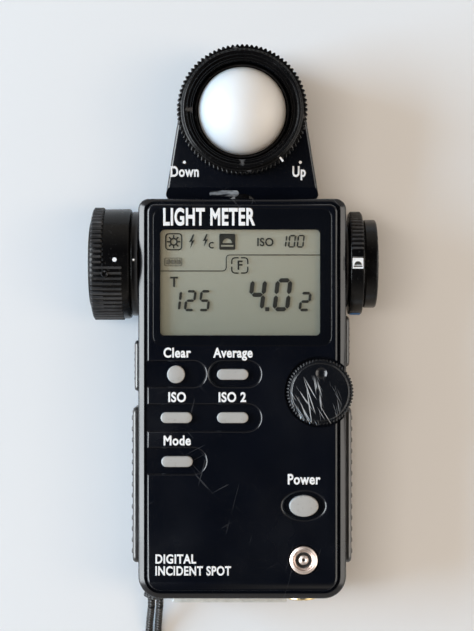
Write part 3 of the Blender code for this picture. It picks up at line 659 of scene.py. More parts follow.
def area_light(name, at, aim, size, power, colour, seen="diffuse"):
    """An area light for diffuse light, or a card that shows only in glossy reflections."""
    data = bpy.data.lights.new(name, "AREA")
    data.shape = "RECTANGLE"
    data.size, data.size_y = size
    data.energy = power
    data.color = colour
    light = bpy.data.objects.new(name, data)
    light.location = at
    light.rotation_euler = (Vector(aim) - Vector(at)).to_track_quat("-Z", "Y").to_euler()
    light.visible_glossy = seen == "glossy"
    light.visible_diffuse = seen == "diffuse"
    bpy.context.scene.collection.objects.link(light)


def set_stage():
    """Cool window light from the left and a warm room all round, darker overhead."""
    world = bpy.data.worlds.new("studio")
    world.use_nodes = True
    nodes, links = world.node_tree.nodes, world.node_tree.links
    axis = nodes.new("ShaderNodeSeparateXYZ")
    links.new(nodes.new("ShaderNodeTexCoord").outputs["Generated"], axis.inputs[0])
    fall = nodes.new("ShaderNodeMapRange")
    for socket, value in zip(("From Min", "From Max", "To Min", "To Max"), (0.3, 0.85, 0.62, 0.02)):
        fall.inputs[socket].default_value = value
    links.new(axis.outputs["Z"], fall.inputs["Value"])
    links.new(fall.outputs["Result"], nodes["Background"].inputs["Strength"])
    nodes["Background"].inputs["Color"].default_value = (1.0, 0.92, 0.82, 1)
    bpy.context.scene.world = world
    bpy.context.scene.view_settings.view_transform = "Standard"
    aim = (0, 0, 0.01)
    area_light("window_left", (-1.64, 0.15, 0.72), aim, (1.0, 1.2), 40, (0.5, 0.75, 1))
    area_light("ceiling_left", (-0.32, 0.05, 1.33), aim, (0.35, 0.9), 7.6, (1, 0.9, 0.8))
    area_light("ceiling_right", (0.66, -0.05, 1.24), aim, (0.35, 0.9), 4.4, (1, 0.74, 0.5))
    area_light("card_left", (-1.2, 0.05, 0.62), aim, (1.5, 1.1), 62, (0.9, 0.96, 1), "glossy")
    area_light("card_right", (1.15, -0.1, 0.6), aim, (1.3, 0.9), 11, (1, 0.95, 0.88), "glossy")
    bpy.ops.mesh.primitive_plane_add(size=4)
    floor = bpy.context.object
    floor.name = "floor"
    surface = Surface("pale_floor", (0.80, 0.815, 0.83), 0.6, Specular_IOR_Level=0.0)
    surface.mottle(6, 2, 0.4, 0.7, 0.2, (0.77, 0.78, 0.80))
    floor.data.materials.append(surface.material)


# Case


def recess(outline, floor, top, lip, drop, fillet=0.15):
    """A cutting tool for a recess whose mouth falls away over lip by drop."""
    levels = [(outline(fillet), floor), (outline(0), floor + fillet)]
    for step in range(7):
        angle = math.pi / 2 * step / 6
        levels.append((outline(-lip * (1 - math.cos(angle))), top - drop + drop * math.sin(angle)))
    return loft(levels + [(outline(-lip), top + 2)])


def front_case():
    inner = panel_outline(1.2)
    levels = [(case_outline(inset), z) for inset, z in (
        (0.25, PARTING_Z + 0.3), (0, PARTING_Z + 0.55), (0, 31.15), (0.04, 31.35), (0.15, 31.55),
        (0.35, 31.75), (1.35, 32.36), (1.5, 32.46), (1.65, 32.54), (1.85, RIM_Z))]
    shape = carve(
        loft(levels),
        loft([(panel_outline(-GROOVE_WIDTH), RIM_Z - 0.9), (panel_outline(-GROOVE_WIDTH - 0.1), 40)]),
        prism(inner, 10, 40),
        jog_well(), *finder_bores(),
    )
    piece("front_case", shape, "front_cover")


def jog_well():
    return prism(disc(10.2, *JOG)(), 31.8, 40)


def finder_bores():
    """Where the finder's barrel goes out through the sides of the case."""
    sides = ((10.6, ALONG_MINUS_X), (10.2, ALONG_X))
    return [prism(disc(radius)(), 25, 33, FINDER, turn) for radius, turn in sides]


def front_panel():
    """The raised panel, with its key rows opening into the groove on the left."""
    tools = [
        recess(rounded(*WINDOW, 2.85), WINDOW_SEAT_Z, PANEL_Z, 0.12, 0.12, 0.02),
        prism(rounded(*LCD_AREA, 1.2)(-0.6), 20, 40),
        recess(oval((5.9, 3.9), *POWER), RECESS_Z, PANEL_Z, 1.1, 0.85),
        jog_well(),
        loft([(disc(4.15, *SYNC)(), 20), (disc(4.15, *SYNC)(), 32.9), (disc(4.6, *SYNC)(), 33.65),
              (disc(4.6, *SYNC)(), 40)]),
        wedge(6.4, PANEL_Z, 9, 4),
    ]
    for left, right, low, high in KEY_RECESSES:
        reach = (high - low) / 2 - 0.01
        end = reach if left > -20 else 0.3
        outline = rounded(left, right, low, high, (end, reach, reach, end))
        tools.append(recess(outline, RECESS_Z, PANEL_Z, 0.6, 0.6))
    shape = carve(loft(rounding(panel_outline, 30.9, PANEL_Z, 0, 0.9, 6)), *tools)
    piece("front_panel", shape, "front_cover")


def wedge(y, z, slope, height):
    """A cutter that slopes a top face down from y towards the foot."""
    outline = [(-40, -20), (40, -20), (40, 0), (-40, 0)]
    tilt = Matrix.Rotation(math.radians(slope), 4, "X")
    return prism(outline, 0, height, (0, y, z), tilt)


def window():
    """The window's printed black border, its clear middle and the display behind it."""
    pane = rounded(*WINDOW, 2.8)
    opening = rounded(*LCD_AREA, 1.2)

    def border(inset=0.0):
        return pane(inset + 0.06)

    shape = carve(
        loft(rounding(border, WINDOW_SEAT_Z + 0.02, PANEL_Z - 0.02, 0, 0.12)),
        loft([(opening(0), 20), (opening(0), 33.35), (opening(-0.06), 33.8)]),
    )
    piece("window_mask", shape, "display_window", GLOSS_BLACK)
    sheet = rounded(*LCD_AREA, 1.4)
    shape = prism(sheet(-0.25), 33.05, 33.3)
    piece("window_clear", shape, "display_window")
    x, y, z = extent("lcd_glass")
    piece("lcd_reflector", block(x, y, (z[0], 31.5), edge=0.1), "lcd_glass")


def rear_case():
    x, y, z = extent("battery_cover")
    opening = (x[0] - 0.3, x[1] + 0.3)
    cavity = case_outline(2.0)
    bush = middle("tripod_bush")
    tools = [
        prism(cavity, 2.0, 30),
        block(opening, (-5, y[1] + 0.3), (-1, 2.2)),
        block((-32, -23.4), (0, 7.9), (5, 11)),
        prism(disc(4.7)(), 0, 9, (bush[0], 0, bush[2]), ALONG_Y),
        *finder_bores(),
    ]
    for node in SCREWS:
        at = middle(node)
        tools.append(loft([(disc(2.6)(), -1), (disc(2.4)(), 0.3), (disc(2.4)(), 6)], (at[0], at[1], 0)))
    for node in ("measuring_button", "memory_button"):
        _, y, z = extent(node)
        x = (-32, -26) if middle(node)[0] < 0 else (26, 32)
        tools.append(block(x, (y[0] + 0.6, y[1] - 0.6), (z[0] + 0.6, z[1] - 0.6)))
    shape = carve(loft(rounding(case_outline, 0, PARTING_Z, 1.6, 0.25, 8)), *tools)
    piece("rear_case", shape, "rear_cover")
    for node in SCREWS:
        screw(node)


def screw(node):
    """A cross-head screw in its well."""
    x, y, z = extent(node)
    at = (sum(x) / 2, sum(y) / 2, 0)
    profile = [(0, z[1]), (1.0, z[1] - 0.4), (1.0, 8.7), (2.0, 8.7), (2.0, 7.8)]
    profile = round_corner(profile, 1.6, 7.8, 0.4, 0, -90) + [(0, 7.4)]
    arms = [prism(outline, 7.0, 8.2, at) for outline in (
        rounded(-1.1, 1.1, -0.2, 0.2, 0.05, 2)(), rounded(-0.2, 0.2, -1.1, 1.1, 0.05, 2)())]
    piece(node + "_head", carve(lathe(profile, at, steps=48), *arms), node)


def battery_cover():
    """The sliding cover: a plate with thumb ribs, and the lip that shows at the bottom end, painted pale
    grey as a painted reflection.
    """
    x, y, z = extent("battery_cover")
    thumb_hollow = block((x[0] + 6, x[1] - 6), (6.0, 17.0), (-1, 0.5), edge=0.4)
    shape = carve(block(x, y, (0, 1.9), edge=0.25), thumb_hollow)
    for step in range(6):
        low = 7.2 + 1.6 * step
        block((x[0] + 7.2, x[1] - 7.2), (low, low + 0.7), (0.1, 1.0), into=shape, edge=0.1)
    lip_low = z[1] - 2.0
    block(x, (y[0], 0.9), (0.5, lip_low - 0.1), into=shape, edge=0.3)
    piece("battery_door", shape, "battery_cover")
    # The lip's pale grey is a painted reflection, not the lip's own colour.
    lip = block(x, (y[0], 0.9), (lip_low, z[1]), edge=0.45)
    piece("battery_door_lip", lip, "battery_cover", LIP_PAINTED_REFLECTION, "silicone")


def grips():
    """Rubber side pads with a column of small ribs."""
    for node, turn in (("left_grip", ALONG_MINUS_X), ("right_grip", ALONG_X)):
        x, y, z = extent(node)
        reach = (min(abs(x[0]), abs(x[1])), max(abs(x[0]), abs(x[1])))
        half = (z[1] - z[0]) / 2
        at = (0, 0, sum(z) / 2)
        pad = rounded(-half, half, *y, 2.0)
        shape = loft(rounding(pad, reach[0], reach[1] - 0.35, 0.1, 1.1), at, turn)
        pitch = (y[1] - y[0] - 3.2) / 13
        for step in range(13):
            low = y[0] + 1.6 + pitch * (step + 0.28)
            rib = rounded(-half + 2.0, half - 2.0, low, low + pitch * 0.44, 0.7, 5)
            loft(rounding(rib, reach[1] - 0.8, reach[1], 0, 0.3), at, turn, into=shape)
        piece(node + "_pad", shape, node)


def side_buttons():
    for node, turn in (("measuring_button", ALONG_MINUS_X), ("memory_button", ALONG_X)):
        x, y, z = extent(node)
        outer = max(abs(x[0]), abs(x[1]))
        half = (z[1] - z[0]) / 2 - 0.9
        cap = rounded(-half, half, y[0] + 0.9, y[1] - 0.9, 1.6)
        at = (0, 0, sum(z) / 2)
        shape = loft(rounding(cap, outer - 5.5, outer - 0.15, 0, 1.1, 8), at, turn)
        for step in range(5):
            spot = sum(y) / 2 + (step - 2) * 1.9
            nub = rounded(-half + 1.6, half - 1.6, spot - 0.4, spot + 0.4, 0.39, 6)
            loft(rounding(nub, outer - 0.8, outer, 0, 0.3), at, turn, into=shape)
        piece(node + "_cap", shape, node)


# Keys and controls


def keys():
    for node in ("average_key", "iso_key", "iso2_key", "mode_key"):
        x, y, _ = middle(node)
        key_cap(node, pill(9.0, 3.1, x, y))
    key_cap("clear_key", disc(2.55, *middle("clear_key")[:2]))
    x, y, _ = middle("power_key")
    key_cap("power_key", oval((4.2, 3.05), x, y))


def key_cap(node, outline):
    """A cap with a soft crown and a shadow gap round it."""
    top = extent(node)[2][1]
    levels = rounding(outline, 29.4, top - 0.12, 0, 0.4, 6)
    for inset in (0.8, 1.15, 1.45):
        levels.append((outline(inset), top - 0.12 + 0.12 * (inset - 0.4) / 1.05))
    piece(node + "_cap", loft(levels), node, sharp=50)


def jog_wheel():
    x, y = JOG
    top = extent("jog_wheel")[2][1]
    low = extent("sync_shell")[2][1] - 2.0
    rim = knurled(9.6, 0.42, 60)
    levels = rounding(rim, low + 0.2, 34.2, 0.3, 0)
    levels += [(rim(0.06), 34.35), (rim(0.55), 34.75)]
    shape = loft(levels, (x, y, 0))
    face = [(0, top)]
    face = round_corner(face, 7.9, top - 0.35, 0.35, 90, 30)
    face += [(8.55, top - 0.55), (8.75, 34.4), (8.75, 33.0), (0, 33.0)]
    wheel = lathe(face, (x, y, 0), steps=120)
    ball = [(0, 2.6), *arc(0, 0, 2.6, 80, -80, 16), (0, -2.6)]
    dimple = lathe(ball, (x + 0.3, y + 5.4, top + 2.02), steps=40)
    wheel = carve(wheel, dimple)
    join_shapes(shape, wheel)
    piece("jog_wheel_knob", shape, "jog_wheel", JOG_BLACK)


def join_shapes(shape, other):
    mesh = bpy.data.meshes.new("joined")
    other.to_mesh(mesh)
    other.free()
    shape.from_mesh(mesh)


def sync_terminal():
    at = (*SYNC, 0)
    profile = [(2.3, 33.2), (2.45, 33.2), (2.75, 33.0), (2.95, 33.0), (3.05, 33.85), (3.2, 34.0),
               (3.5, 33.95), (3.95, 33.6), (4.0, 33.3), (4.0, 25.2), (2.3, 25.2)]
    piece("sync_ring", lathe(profile, at), "sync_shell")
    profile = [(0, 32.3), (2.28, 32.3), (2.28, 25.4), (0, 25.4)]
    piece("sync_core", lathe(profile, at, steps=48), "sync_insulator")
    profile = [(0, 32.0), (0.45, 32.0), (0.5, 33.0), (0.75, 33.15), (1.3, 32.95), (1.45, 32.7),
               (1.45, 25.6), (0, 25.6)]
    piece("sync_pin", lathe(profile, at, steps=48), "sync_contact")


def tripod_bush():
    x, y, z = extent("tripod_bush")
    at = (sum(x) / 2, 0, sum(z) / 2)
    profile = [(2.6, y[1]), (4.4, y[1]), (4.4, y[0] + 0.3), (4.1, y[0]), (3.3, y[0])]
    height = y[0] + 0.6
    while height < y[1] - 1.5:
        profile += [(2.65, height), (3.0, height + 0.6)]
        height += 1.2
    shape = lathe(profile, at, ALONG_Y, 64)
    bmesh.ops.recalc_face_normals(shape, faces=shape.faces)
    piece("tripod_thread", shape, "tripod_bush")


# Head


def head():
    cavity = disc(14.6, *HEAD_CENTRE[:2])()
    back = extent("head_rear_shell")[2]
    neck_room = (disc(8.3)(), 115, 126.8, (0, 0, FINDER[2]), ALONG_Y)
    shape = carve(
        loft(rounding(head_outline, *back, 1.8, 0.2, 8)),
        prism(cavity, back[0] + 2, 40),
        prism(*neck_room),
    )
    piece("head_back_half", shape, "head_rear_shell")
    front = extent("head_front_shell")[2]
    bore = disc(14.3, *HEAD_CENTRE[:2])()
    shape = carve(
        loft(rounding(head_outline, *front, 0.2, 1.0, 6)),
        prism(bore, 0, 40),
        prism(*neck_room),
        wedge(119.9, front[1], HEAD_FOOT_SLOPE, 6),
    )
    piece("head_front_half", shape, "head_front_shell")
    retract_ring()
    scuff()
    dome()


def retract_ring():
    outer = extent("retract_ring")[0][1]
    shape = loft(rounding(knurled(outer, 0.7, 84), 28.1, 31.9, 0.2, 0.5, 4), HEAD_CENTRE)
    bore = disc(15.5, *HEAD_CENTRE[:2])()
    shape = carve(shape, prism(bore, 20, 40))
    profile = [(14.35, 31.0), (14.5, 31.15), (14.9, 31.2), (15.05, 31.35), (15.1, 31.9),
               (15.8, 32.0), (15.95, 32.15), (16.0, 32.75)]
    profile = round_corner(profile, 16.7, 32.65, 0.35, 110, 0)
    profile += [(17.25, 32.2), (17.9, 31.75), (17.9, 28.3), (18.0, 28.1), (18.0, 27.3), (14.35, 27.3)]
    join_shapes(shape, lathe(profile, HEAD_CENTRE, steps=144))
    piece("knurled_ring", shape, "retract_ring")
    tick = rounded(-0.28, 0.28, -0.75, 0.75, 0.1, 2)
    turn = Matrix.Rotation(math.radians(38), 4, "Z")
    shape = prism(tick(), 31.9, 32.02, (11.3, 127.6, 0), turn)
    piece("ring_tick", shape, "retract_ring", PAINT_WHITE)


def scuff():
    """A rubbed patch on the slope at the foot of the head."""
    patch = rounded(-9.5, -1.0, -1.1, 0.9, 0.8, 5)
    lean = Matrix.Rotation(math.radians(HEAD_FOOT_SLOPE), 4, "X")
    top = extent("head_front_shell")[2][1]
    shape = loft([(patch(), 0.0), (patch(0.1), 0.012)], (0, 118.3, top - 1.06), lean)
    piece("head_foot_scuff", shape, "head_front_shell", SCUFF)


def dome():
    top = extent("lumisphere")[2][1]
    base = top - DOME_RADIUS
    profile = [(0, top)] + arc(0, base, DOME_RADIUS, 90, 0, 39)[1:]
    profile += arc(0, base, DOME_INNER_RADIUS, 0, 90, 19)[:-1] + [(0, base + DOME_INNER_RADIUS)]
    piece("opal_dome", lathe(profile, HEAD_CENTRE, steps=128), "lumisphere", sharp=60)
    profile = [(12.95, base + 0.1), (13.1, base + 0.55), (13.5, base + 0.6), (13.6, base + 0.2),
               (13.9, base), (13.9, 19.5), (10.9, 19.5), (10.9, 26.7), (12.95, 26.7)]
    piece("dome_barrel", lathe(profile, HEAD_CENTRE), "lumisphere_barrel")


# Finder


def rib(angle, base, tip, width, start, end, turn, into):
    """One straight rib along a barrel, at an angle round its axis, with sloping ends."""
    half = width / 2
    section = [(base - 0.3, -half), (tip - 0.12, -half * 0.8), (tip, -half * 0.45),
               (tip, half * 0.45), (tip - 0.12, half * 0.8), (base - 0.3, half)]
    swing = Matrix.Rotation(math.radians(angle), 4, "Z")
    pulled = [(base - 0.3 + (x - base + 0.3) * 0.45, y * 0.85) for x, y in section]
    levels = [(pulled, start), (section, start + 0.45), (section, end - 0.45), (pulled, end)]
    loft(levels, FINDER, turn @ swing, into)


def zoom_side():
    """The ribbed zoom ring and what it turns round; its ribs are longer towards the foot."""
    turn = ALONG_MINUS_X
    profile = [(13.0, 44.0)]
    profile = round_corner(profile, 14.9, 43.5, 0.5, 90, 20)
    profile += [(15.7, 43.0), (15.75, 40.3), (16.15, 40.1), (16.2, 33.2), (16.0, 32.7),
                (15.6, 32.5), (13.0, 32.5)]
    shape = lathe(profile, FINDER, turn, 128)
    count = 64
    for step in range(count):
        angle = 360 * step / count
        facing = rib_direction(angle, turn)
        inner = 34.4 if 4 < facing < 165 else 40.3
        rib(angle, 15.7, 16.6, 0.82, inner, 43.75, turn, shape)
    piece("zoom_ring_ribbed", shape, "zoom_ring")
    dot = loft([(disc(0.65, steps=24)(), 33.62), (disc(0.6, steps=24)(), 33.8)], (-36.6, 98.7, 0.05))
    piece("zoom_dot", dot, "zoom_ring", PAINT_WHITE)
    profile = [(0, 34.1), (0.4, 34.1), (0.45, 34.35), (0.8, 34.35), (0.95, 34.2), (0.95, 33.0),
               (0, 33.0)]
    shape = lathe(profile, (-39.5, 94.6, -0.2), steps=32)
    piece("zoom_set_screw", shape, "zoom_ring", MATERIALS["ring_black"], "steel")
    profile = [(11.0, 41.8), (11.4, 42.4), (11.6, 43.4), (12.2, 44.2)]
    profile = round_corner(profile, 12.45, 44.35, 0.25, 120, 0)
    profile += [(12.7, 32.5), (10.9, 32.5), (10.9, 41.0)]
    piece("objective_bezel", lathe(profile, FINDER, turn), "front_bezel")
    profile = [(10.6, 38.6), (0, 38.6)]
    front = [(10.6 * step / 10, 40.6 + 1.4 * (1 - (step / 10) ** 2)) for step in range(11)]
    piece("objective_element", lathe(front + profile, FINDER, turn), "objective_lens", sharp=60)
    profile = [(10.6, 32.2), (15.2, 32.2)]
    profile = round_corner(profile, 15.0, 31.8, 0.4, 60, 0) + [(15.4, 30.2), (10.6, 30.2)]
    piece("barrel_flange", lathe(profile, FINDER, turn), "lens_flange")
    mark = prism(disc(0.3, steps=16)(), 31.6, 33.0, (-31.2, 98.7, 0))
    piece("zoom_index", mark, "lens_flange", PAINT_WHITE)


def rib_direction(angle, turn):
    """Degrees from straight up (+Z) towards -Y of a direction round the finder's axis."""
    spot = turn @ Vector((math.cos(math.radians(angle)), math.sin(math.radians(angle)), 0))
    return math.degrees(math.atan2(-spot.y, spot.z))


def eyepiece_side():
    turn = ALONG_X
    profile = [(8.0, 35.2), (9.6, 35.2), (9.6, 31.0), (12.6, 31.0), (12.9, 30.7), (12.9, 30.2),
               (8.0, 30.2)]
    piece("eyepiece_flange", lathe(profile, FINDER, turn), "eyepiece_collar")
    profile = [(10.0, 35.2), (14.5, 35.2)]
    profile = round_corner(profile, 14.6, 34.9, 0.3, 80, 0)
    profile = round_corner(profile, 14.6, 31.6, 0.3, 0, -80)
    profile += [(10.0, 31.3)]
    shape = lathe(profile, FINDER, turn, 128)
    count = 68
    for step in range(count):
        angle = 360 * step / count
        if -172 < rib_direction(angle, turn) < -12:
            rib(angle, 14.7, 15.4, 0.72, 31.45, 35.1, turn, shape)
    plinth = rounded(-1.9, 1.9, -2.0, 2.0, 0.4, 4)
    loft(rounding(plinth, 31.6, 32.55, 0, 0.15, 3), (33.25, 97.7, 0), into=shape)
    piece("selector_ribbed", shape, "selector_ring")
    dome_icon("selector_ring", (33.25, 97.7, 32.55), ICON_SIZE)
    spin = Matrix.Rotation(math.radians(85), 4, "X")
    flat = rounded(-1.5, 1.5, -1.5, 1.5, 0.3, 4)
    shape = prism(flat(), 14.6, 15.05, (33.25, FINDER[1], FINDER[2]), spin)
    piece("selector_spot_mark", shape, "selector_ring", PAINT_BLUE)
    profile = [(8.3, 36.2), (8.8, 38.6), (9.6, 39.3)]
    profile = round_corner(profile, 12.3, 38.7, 0.7, 90, 0)
    profile += [(13.0, 36.0), (12.7, 35.6), (8.2, 35.6)]
    piece("eyecup_rubber", lathe(profile, FINDER, turn), "eyecup", MATERIALS["ring_black"])
    front = [(7.7 * step / 8, 33.2 + 0.7 * (1 - (step / 8) ** 2)) for step in range(9)]
    shape = lathe(front + [(7.7, 31.4), (0, 31.4)], FINDER, turn)
    piece("eyepiece_element", shape, "eyepiece_lens", sharp=60)


def dome_icon(node, at, half):
    """A flat square with a half-round dome standing on a line."""
    square = rounded(-half, half, -half, half, 0.15, 3)
    shape = prism(square(), 0.0, 0.06, at)
    piece(node + "_icon_ground", shape, node, PAINT_WHITE)
    figure = arc(0, -0.3 * half, 0.68 * half, 0, 180, 12)
    shape = prism(figure, 0.05, 0.11, at)
    bar = [(-0.8 * half, -0.68 * half), (0.8 * half, -0.68 * half), (0.8 * half, -0.42 * half),
           (-0.8 * half, -0.42 * half)]
    prism(bar, 0.05, 0.11, at, into=shape)
    piece(node + "_icon_dome", shape, node, INK)


# Lettering and marks


def lettering(name, text, x, y, height, z, node="front_cover", align="CENTER", squeeze=0.85,
              weight=0.05, colour=None):
    """Printed words: x is the middle, or the start if aligned left, y the baseline, and
    height a capital's."""
    curve = bpy.data.curves.new(name, "FONT")
    curve.body = text
    curve.size = height * TYPE_SIZE * MM
    curve.align_x = align
    curve.bevel_depth = weight * height * MM
    curve.bevel_resolution = 2
    curve.space_character = 1.0 + weight * 1.6
    guide = bpy.data.objects.new(name + "_guide", curve)
    bpy.context.scene.collection.objects.link(guide)
    graph = bpy.context.evaluated_depsgraph_get()
    mesh = bpy.data.meshes.new_from_object(guide.evaluated_get(graph))
    bpy.data.objects.remove(guide, do_unlink=True)
    shape = bmesh.new()
    shape.from_mesh(mesh)
    flatten = LETTER_RELIEF / (weight * height)
    place = Matrix.Translation(row(x, y, z)) @ Matrix.Diagonal((squeeze, 1, flatten, 1))
    bmesh.ops.transform(shape, matrix=place, verts=shape.verts)
    piece(name, shape, node, colour or PAINT_WHITE, "case_black")


def labels():
    z = PANEL_Z + 0.005
    for words, x, y, height, squeeze in (
        ("Clear", -18.7, 70.75, 2.45, 0.85), ("Average", -2.6, 70.75, 2.45, 0.82),
        ("ISO", -18.7, 58.0, 2.45, 0.85), ("ISO 2", -2.9, 58.0, 2.45, 0.85),
        ("Mode", -18.7, 45.6, 2.45, 0.85), ("Power", 17.6, 34.4, 2.6, 0.82),
    ):
        name = "label_" + words.lower().replace(" ", "_")
        lettering(name, words, x, y, height, z, squeeze=squeeze)
    left = {"align": "LEFT"}
    lettering("label_kind", "LIGHT METER", -22.8, 108.7, 4.3, z, squeeze=0.6, weight=0.055, **left)
    lettering("label_use_1", "DIGITAL", -25.0, 11.7, 2.3, z, squeeze=0.82, **left)
    lettering("label_use_2", "INCIDENT SPOT", -25.0, 8.3, 2.3, z, squeeze=0.78, **left)
    head = {"node": "head_front_shell", "squeeze": 0.76}
    top = extent("head_front_shell")[2][1] + 0.005
    lettering("label_down", "Down", -16.7, 123.1, 2.7, top, **head)
    lettering("label_up", "Up", 16.5, 123.1, 2.7, top, **head)
    for name, x in (("dot_down", -16.8), ("dot_up", 16.9)):
        shape = prism(disc(0.45, steps=20)(), -0.01, 0.03, (x, 127.2, top))
        piece(name, shape, "head_front_shell", PAINT_WHITE)


# Display figures

SEGMENTS = {
    "0": "abcdef", "1": "bc", "2": "abged", "3": "abgcd", "4": "fgbc", "5": "afgcd",
    "6": "afgedc", "7": "abc", "8": "abcdefg", "9": "abcdfg",
}
LEAN = 0.12
INK_Z = 31.95


def ink(name, outlines, material=None):
    shape = bmesh.new()
    for outline in outlines:
        prism(outline, INK_Z, INK_Z + 0.04, into=shape)
    piece(name, shape, "lcd_glass", material or INK)


def leaning(points, y):
    return [(px + (py - y) * LEAN, py) for px, py in points]


def digit(character, x, y, width, height, stroke):
    """Outlines of one seven-segment figure, its foot at (x, y)."""
    gap = stroke * 0.12
    half = height / 2
    edge = stroke / 2
    outlines = []
    bars = {"a": y + height - edge, "g": y + half, "d": y + edge}
    posts = {
        "f": (x + edge, y + half, y + height), "b": (x + width - edge, y + half, y + height),
        "e": (x + edge, y, y + half), "c": (x + width - edge, y, y + half),
    }
    for segment in SEGMENTS[character]:
        if segment in bars:
            level = bars[segment]
            left, right = x + edge + gap, x + width - edge - gap
            points = [(left, level), (left + edge, level - edge), (right - edge, level - edge),
                      (right, level), (right - edge, level + edge), (left + edge, level + edge)]
        else:
            middle_x, low, high = posts[segment]
            low += edge + gap if low == y else gap
            high -= edge + gap if high == y + height else gap
            points = [(middle_x, low), (middle_x + edge, low + edge), (middle_x + edge, high - edge),
                      (middle_x, high), (middle_x - edge, high - edge), (middle_x - edge, low + edge)]
        outlines.append(leaning(points, y))
    return outlines


def number(name, text, x, y, width, height, stroke, pitch):
    outlines = []
    for index, character in enumerate(text):
        outlines += digit(character, x + index * pitch, y, width, height, stroke)
    ink(name, outlines)


def strip(x0, y0, x1, y1, width=0.25):
    """A straight line's outline."""
    along = Vector((x1 - x0, y1 - y0)).normalized() * width / 2
    side = Vector((along.y, -along.x))
    start, end = Vector((x0, y0)), Vector((x1, y1))
    return [tuple(start + side), tuple(end + side), tuple(end - side), tuple(start - side)]


def bend_strips(x, y, radius, start, end, width=0.25, steps=8):
    outer = arc(x, y, radius + width / 2, start, end, steps)
    inner = arc(x, y, radius - width / 2, start, end, steps)
    outlines = []
    for index in range(steps):
        outlines.append([inner[index], outer[index], outer[index + 1], inner[index + 1]])
    return outlines


def box_lines(left, right, low, high, radius, width=0.25, breaks=False):
    """A rounded box drawn as a line, whole or broken at the middle of each side."""
    outlines = []
    for x, y, start in ((right, high, 0), (left, high, 90), (left, low, 180), (right, low, 270)):
        cx = x - radius if x == right else x + radius
        cy = y - radius if y == high else y + radius
        outlines += bend_strips(cx, cy, radius, start, start + 90, width, 4)
    middle_x, middle_y = (left + right) / 2, (low + high) / 2
    gap = 0.35 if breaks else 0.0
    for y in (low, high):
        outlines.append(strip(left + radius, y, middle_x - gap, y, width))
        outlines.append(strip(middle_x + gap, y, right - radius, y, width))
    for x in (left, right):
        outlines.append(strip(x, low + radius, x, middle_y - gap, width))
        outlines.append(strip(x, middle_y + gap, x, high - radius, width))
    return anticlockwise(outlines)


def anticlockwise(outlines):
    turned = []
    for points in outlines:
        area = sum(a[0] * b[1] - b[0] * a[1] for a, b in zip(points, points[1:] + points[:1]))
        turned.append(points if area > 0 else points[::-1])
    return turned


def bolt(x, y, scale):
    points = [(0.35, 2.1), (-0.85, -0.25), (-0.1, -0.05), (-0.45, -2.1), (0.85, 0.45), (0.1, 0.2),
              (0.75, 2.1)]
    return [(x + px * scale, y + py * scale) for px, py in points]


def display_figures():
    x0, x1 = LCD_AREA[:2]
    number("figures_iso", "100", 10.6, 102.2, 2.0, 3.7, 0.42, 2.5)
    number("figures_time", "125", -21.0, 83.9, 3.1, 6.1, 0.72, 4.15)
    number("figures_stop_4", "4", 1.4, 83.9, 4.7, 9.5, 1.2, 5.2)
    number("figures_stop_0", "0", 8.6, 83.9, 4.8, 9.5, 1.2, 5.2)
    number("figures_tenth", "2", 16.1, 83.9, 3.3, 5.6, 0.78, 3.65)
    ink("figures_point", [rounded(6.6, 7.8, 83.9, 85.1, 0.2, 3)()])
    sun = box_lines(x0 + 1.5, x0 + 6.1, 101.6, 106.2, 0.9, 0.34)
    sun += bend_strips(-19.7, 103.9, 0.95, 0, 360, 0.45, 16)
    for step in range(8):
        angle = math.radians(45 * step)
        way = (math.cos(angle), math.sin(angle))
        sun.append(strip(-19.7 + way[0] * 1.1, 103.9 + way[1] * 1.1,
                         -19.7 + way[0] * 1.9, 103.9 + way[1] * 1.9, 0.42))
    ink("icon_sun", sun)
    ink("icon_flash", [bolt(-14.5, 104.0, 0.95)])
    cord_flash = [bolt(-10.6, 104.3, 0.88)] + bend_strips(-8.7, 102.9, 0.8, 50, 310, 0.38, 8)
    ink("icon_cord_flash", cord_flash)
    ground = rounded(-6.6, -2.0, 101.6, 106.2, 0.4, 4)()
    figure = arc(-4.3, 103.5, 1.35, 0, 180, 16)
    bar = rounded(-6.1, -2.5, 102.5, 103.0, 0.1, 2)()
    shape = carve(
        prism(ground, INK_Z, INK_Z + 0.04),
        prism(figure, 31, 33), prism(bar, 31, 33),
    )
    piece("icon_dome", shape, "lcd_glass", INK)
    line = [strip(-3.6, 100.1, x1, 100.1), strip(x0, 95.5, -5.7, 95.5)]
    line += bend_strips(-3.6, 99.1, 1.0, 90, 180) + [strip(-4.6, 99.1, -4.6, 96.6)]
    line += bend_strips(-5.7, 96.6, 1.1, 270, 360)
    ink("display_rule", anticlockwise(line))
    ink("frame_f", box_lines(-3.0, 1.6, 94.9, 99.3, 0.9, 0.36, True))
    cell = box_lines(-22.3, -17.4, 97.0, 99.2, 0.3, 0.22)
    cell += [rounded(-21.8 + 1.45 * k, -20.7 + 1.45 * k, 97.4, 98.8, 0.05, 2)() for k in range(3)]
    ink("icon_cell", cell, INK_FAINT)
    words = {"z": INK_Z, "node": "lcd_glass", "colour": INK, "weight": 0.03, "squeeze": 0.95}
    lettering("display_iso", "ISO", 6.6, 102.7, 2.1, **words)
    lettering("display_t", "T", -19.6, 91.0, 2.6, **words)
    lettering("display_f", "F", -0.7, 95.9, 2.4, **words)


# Strap

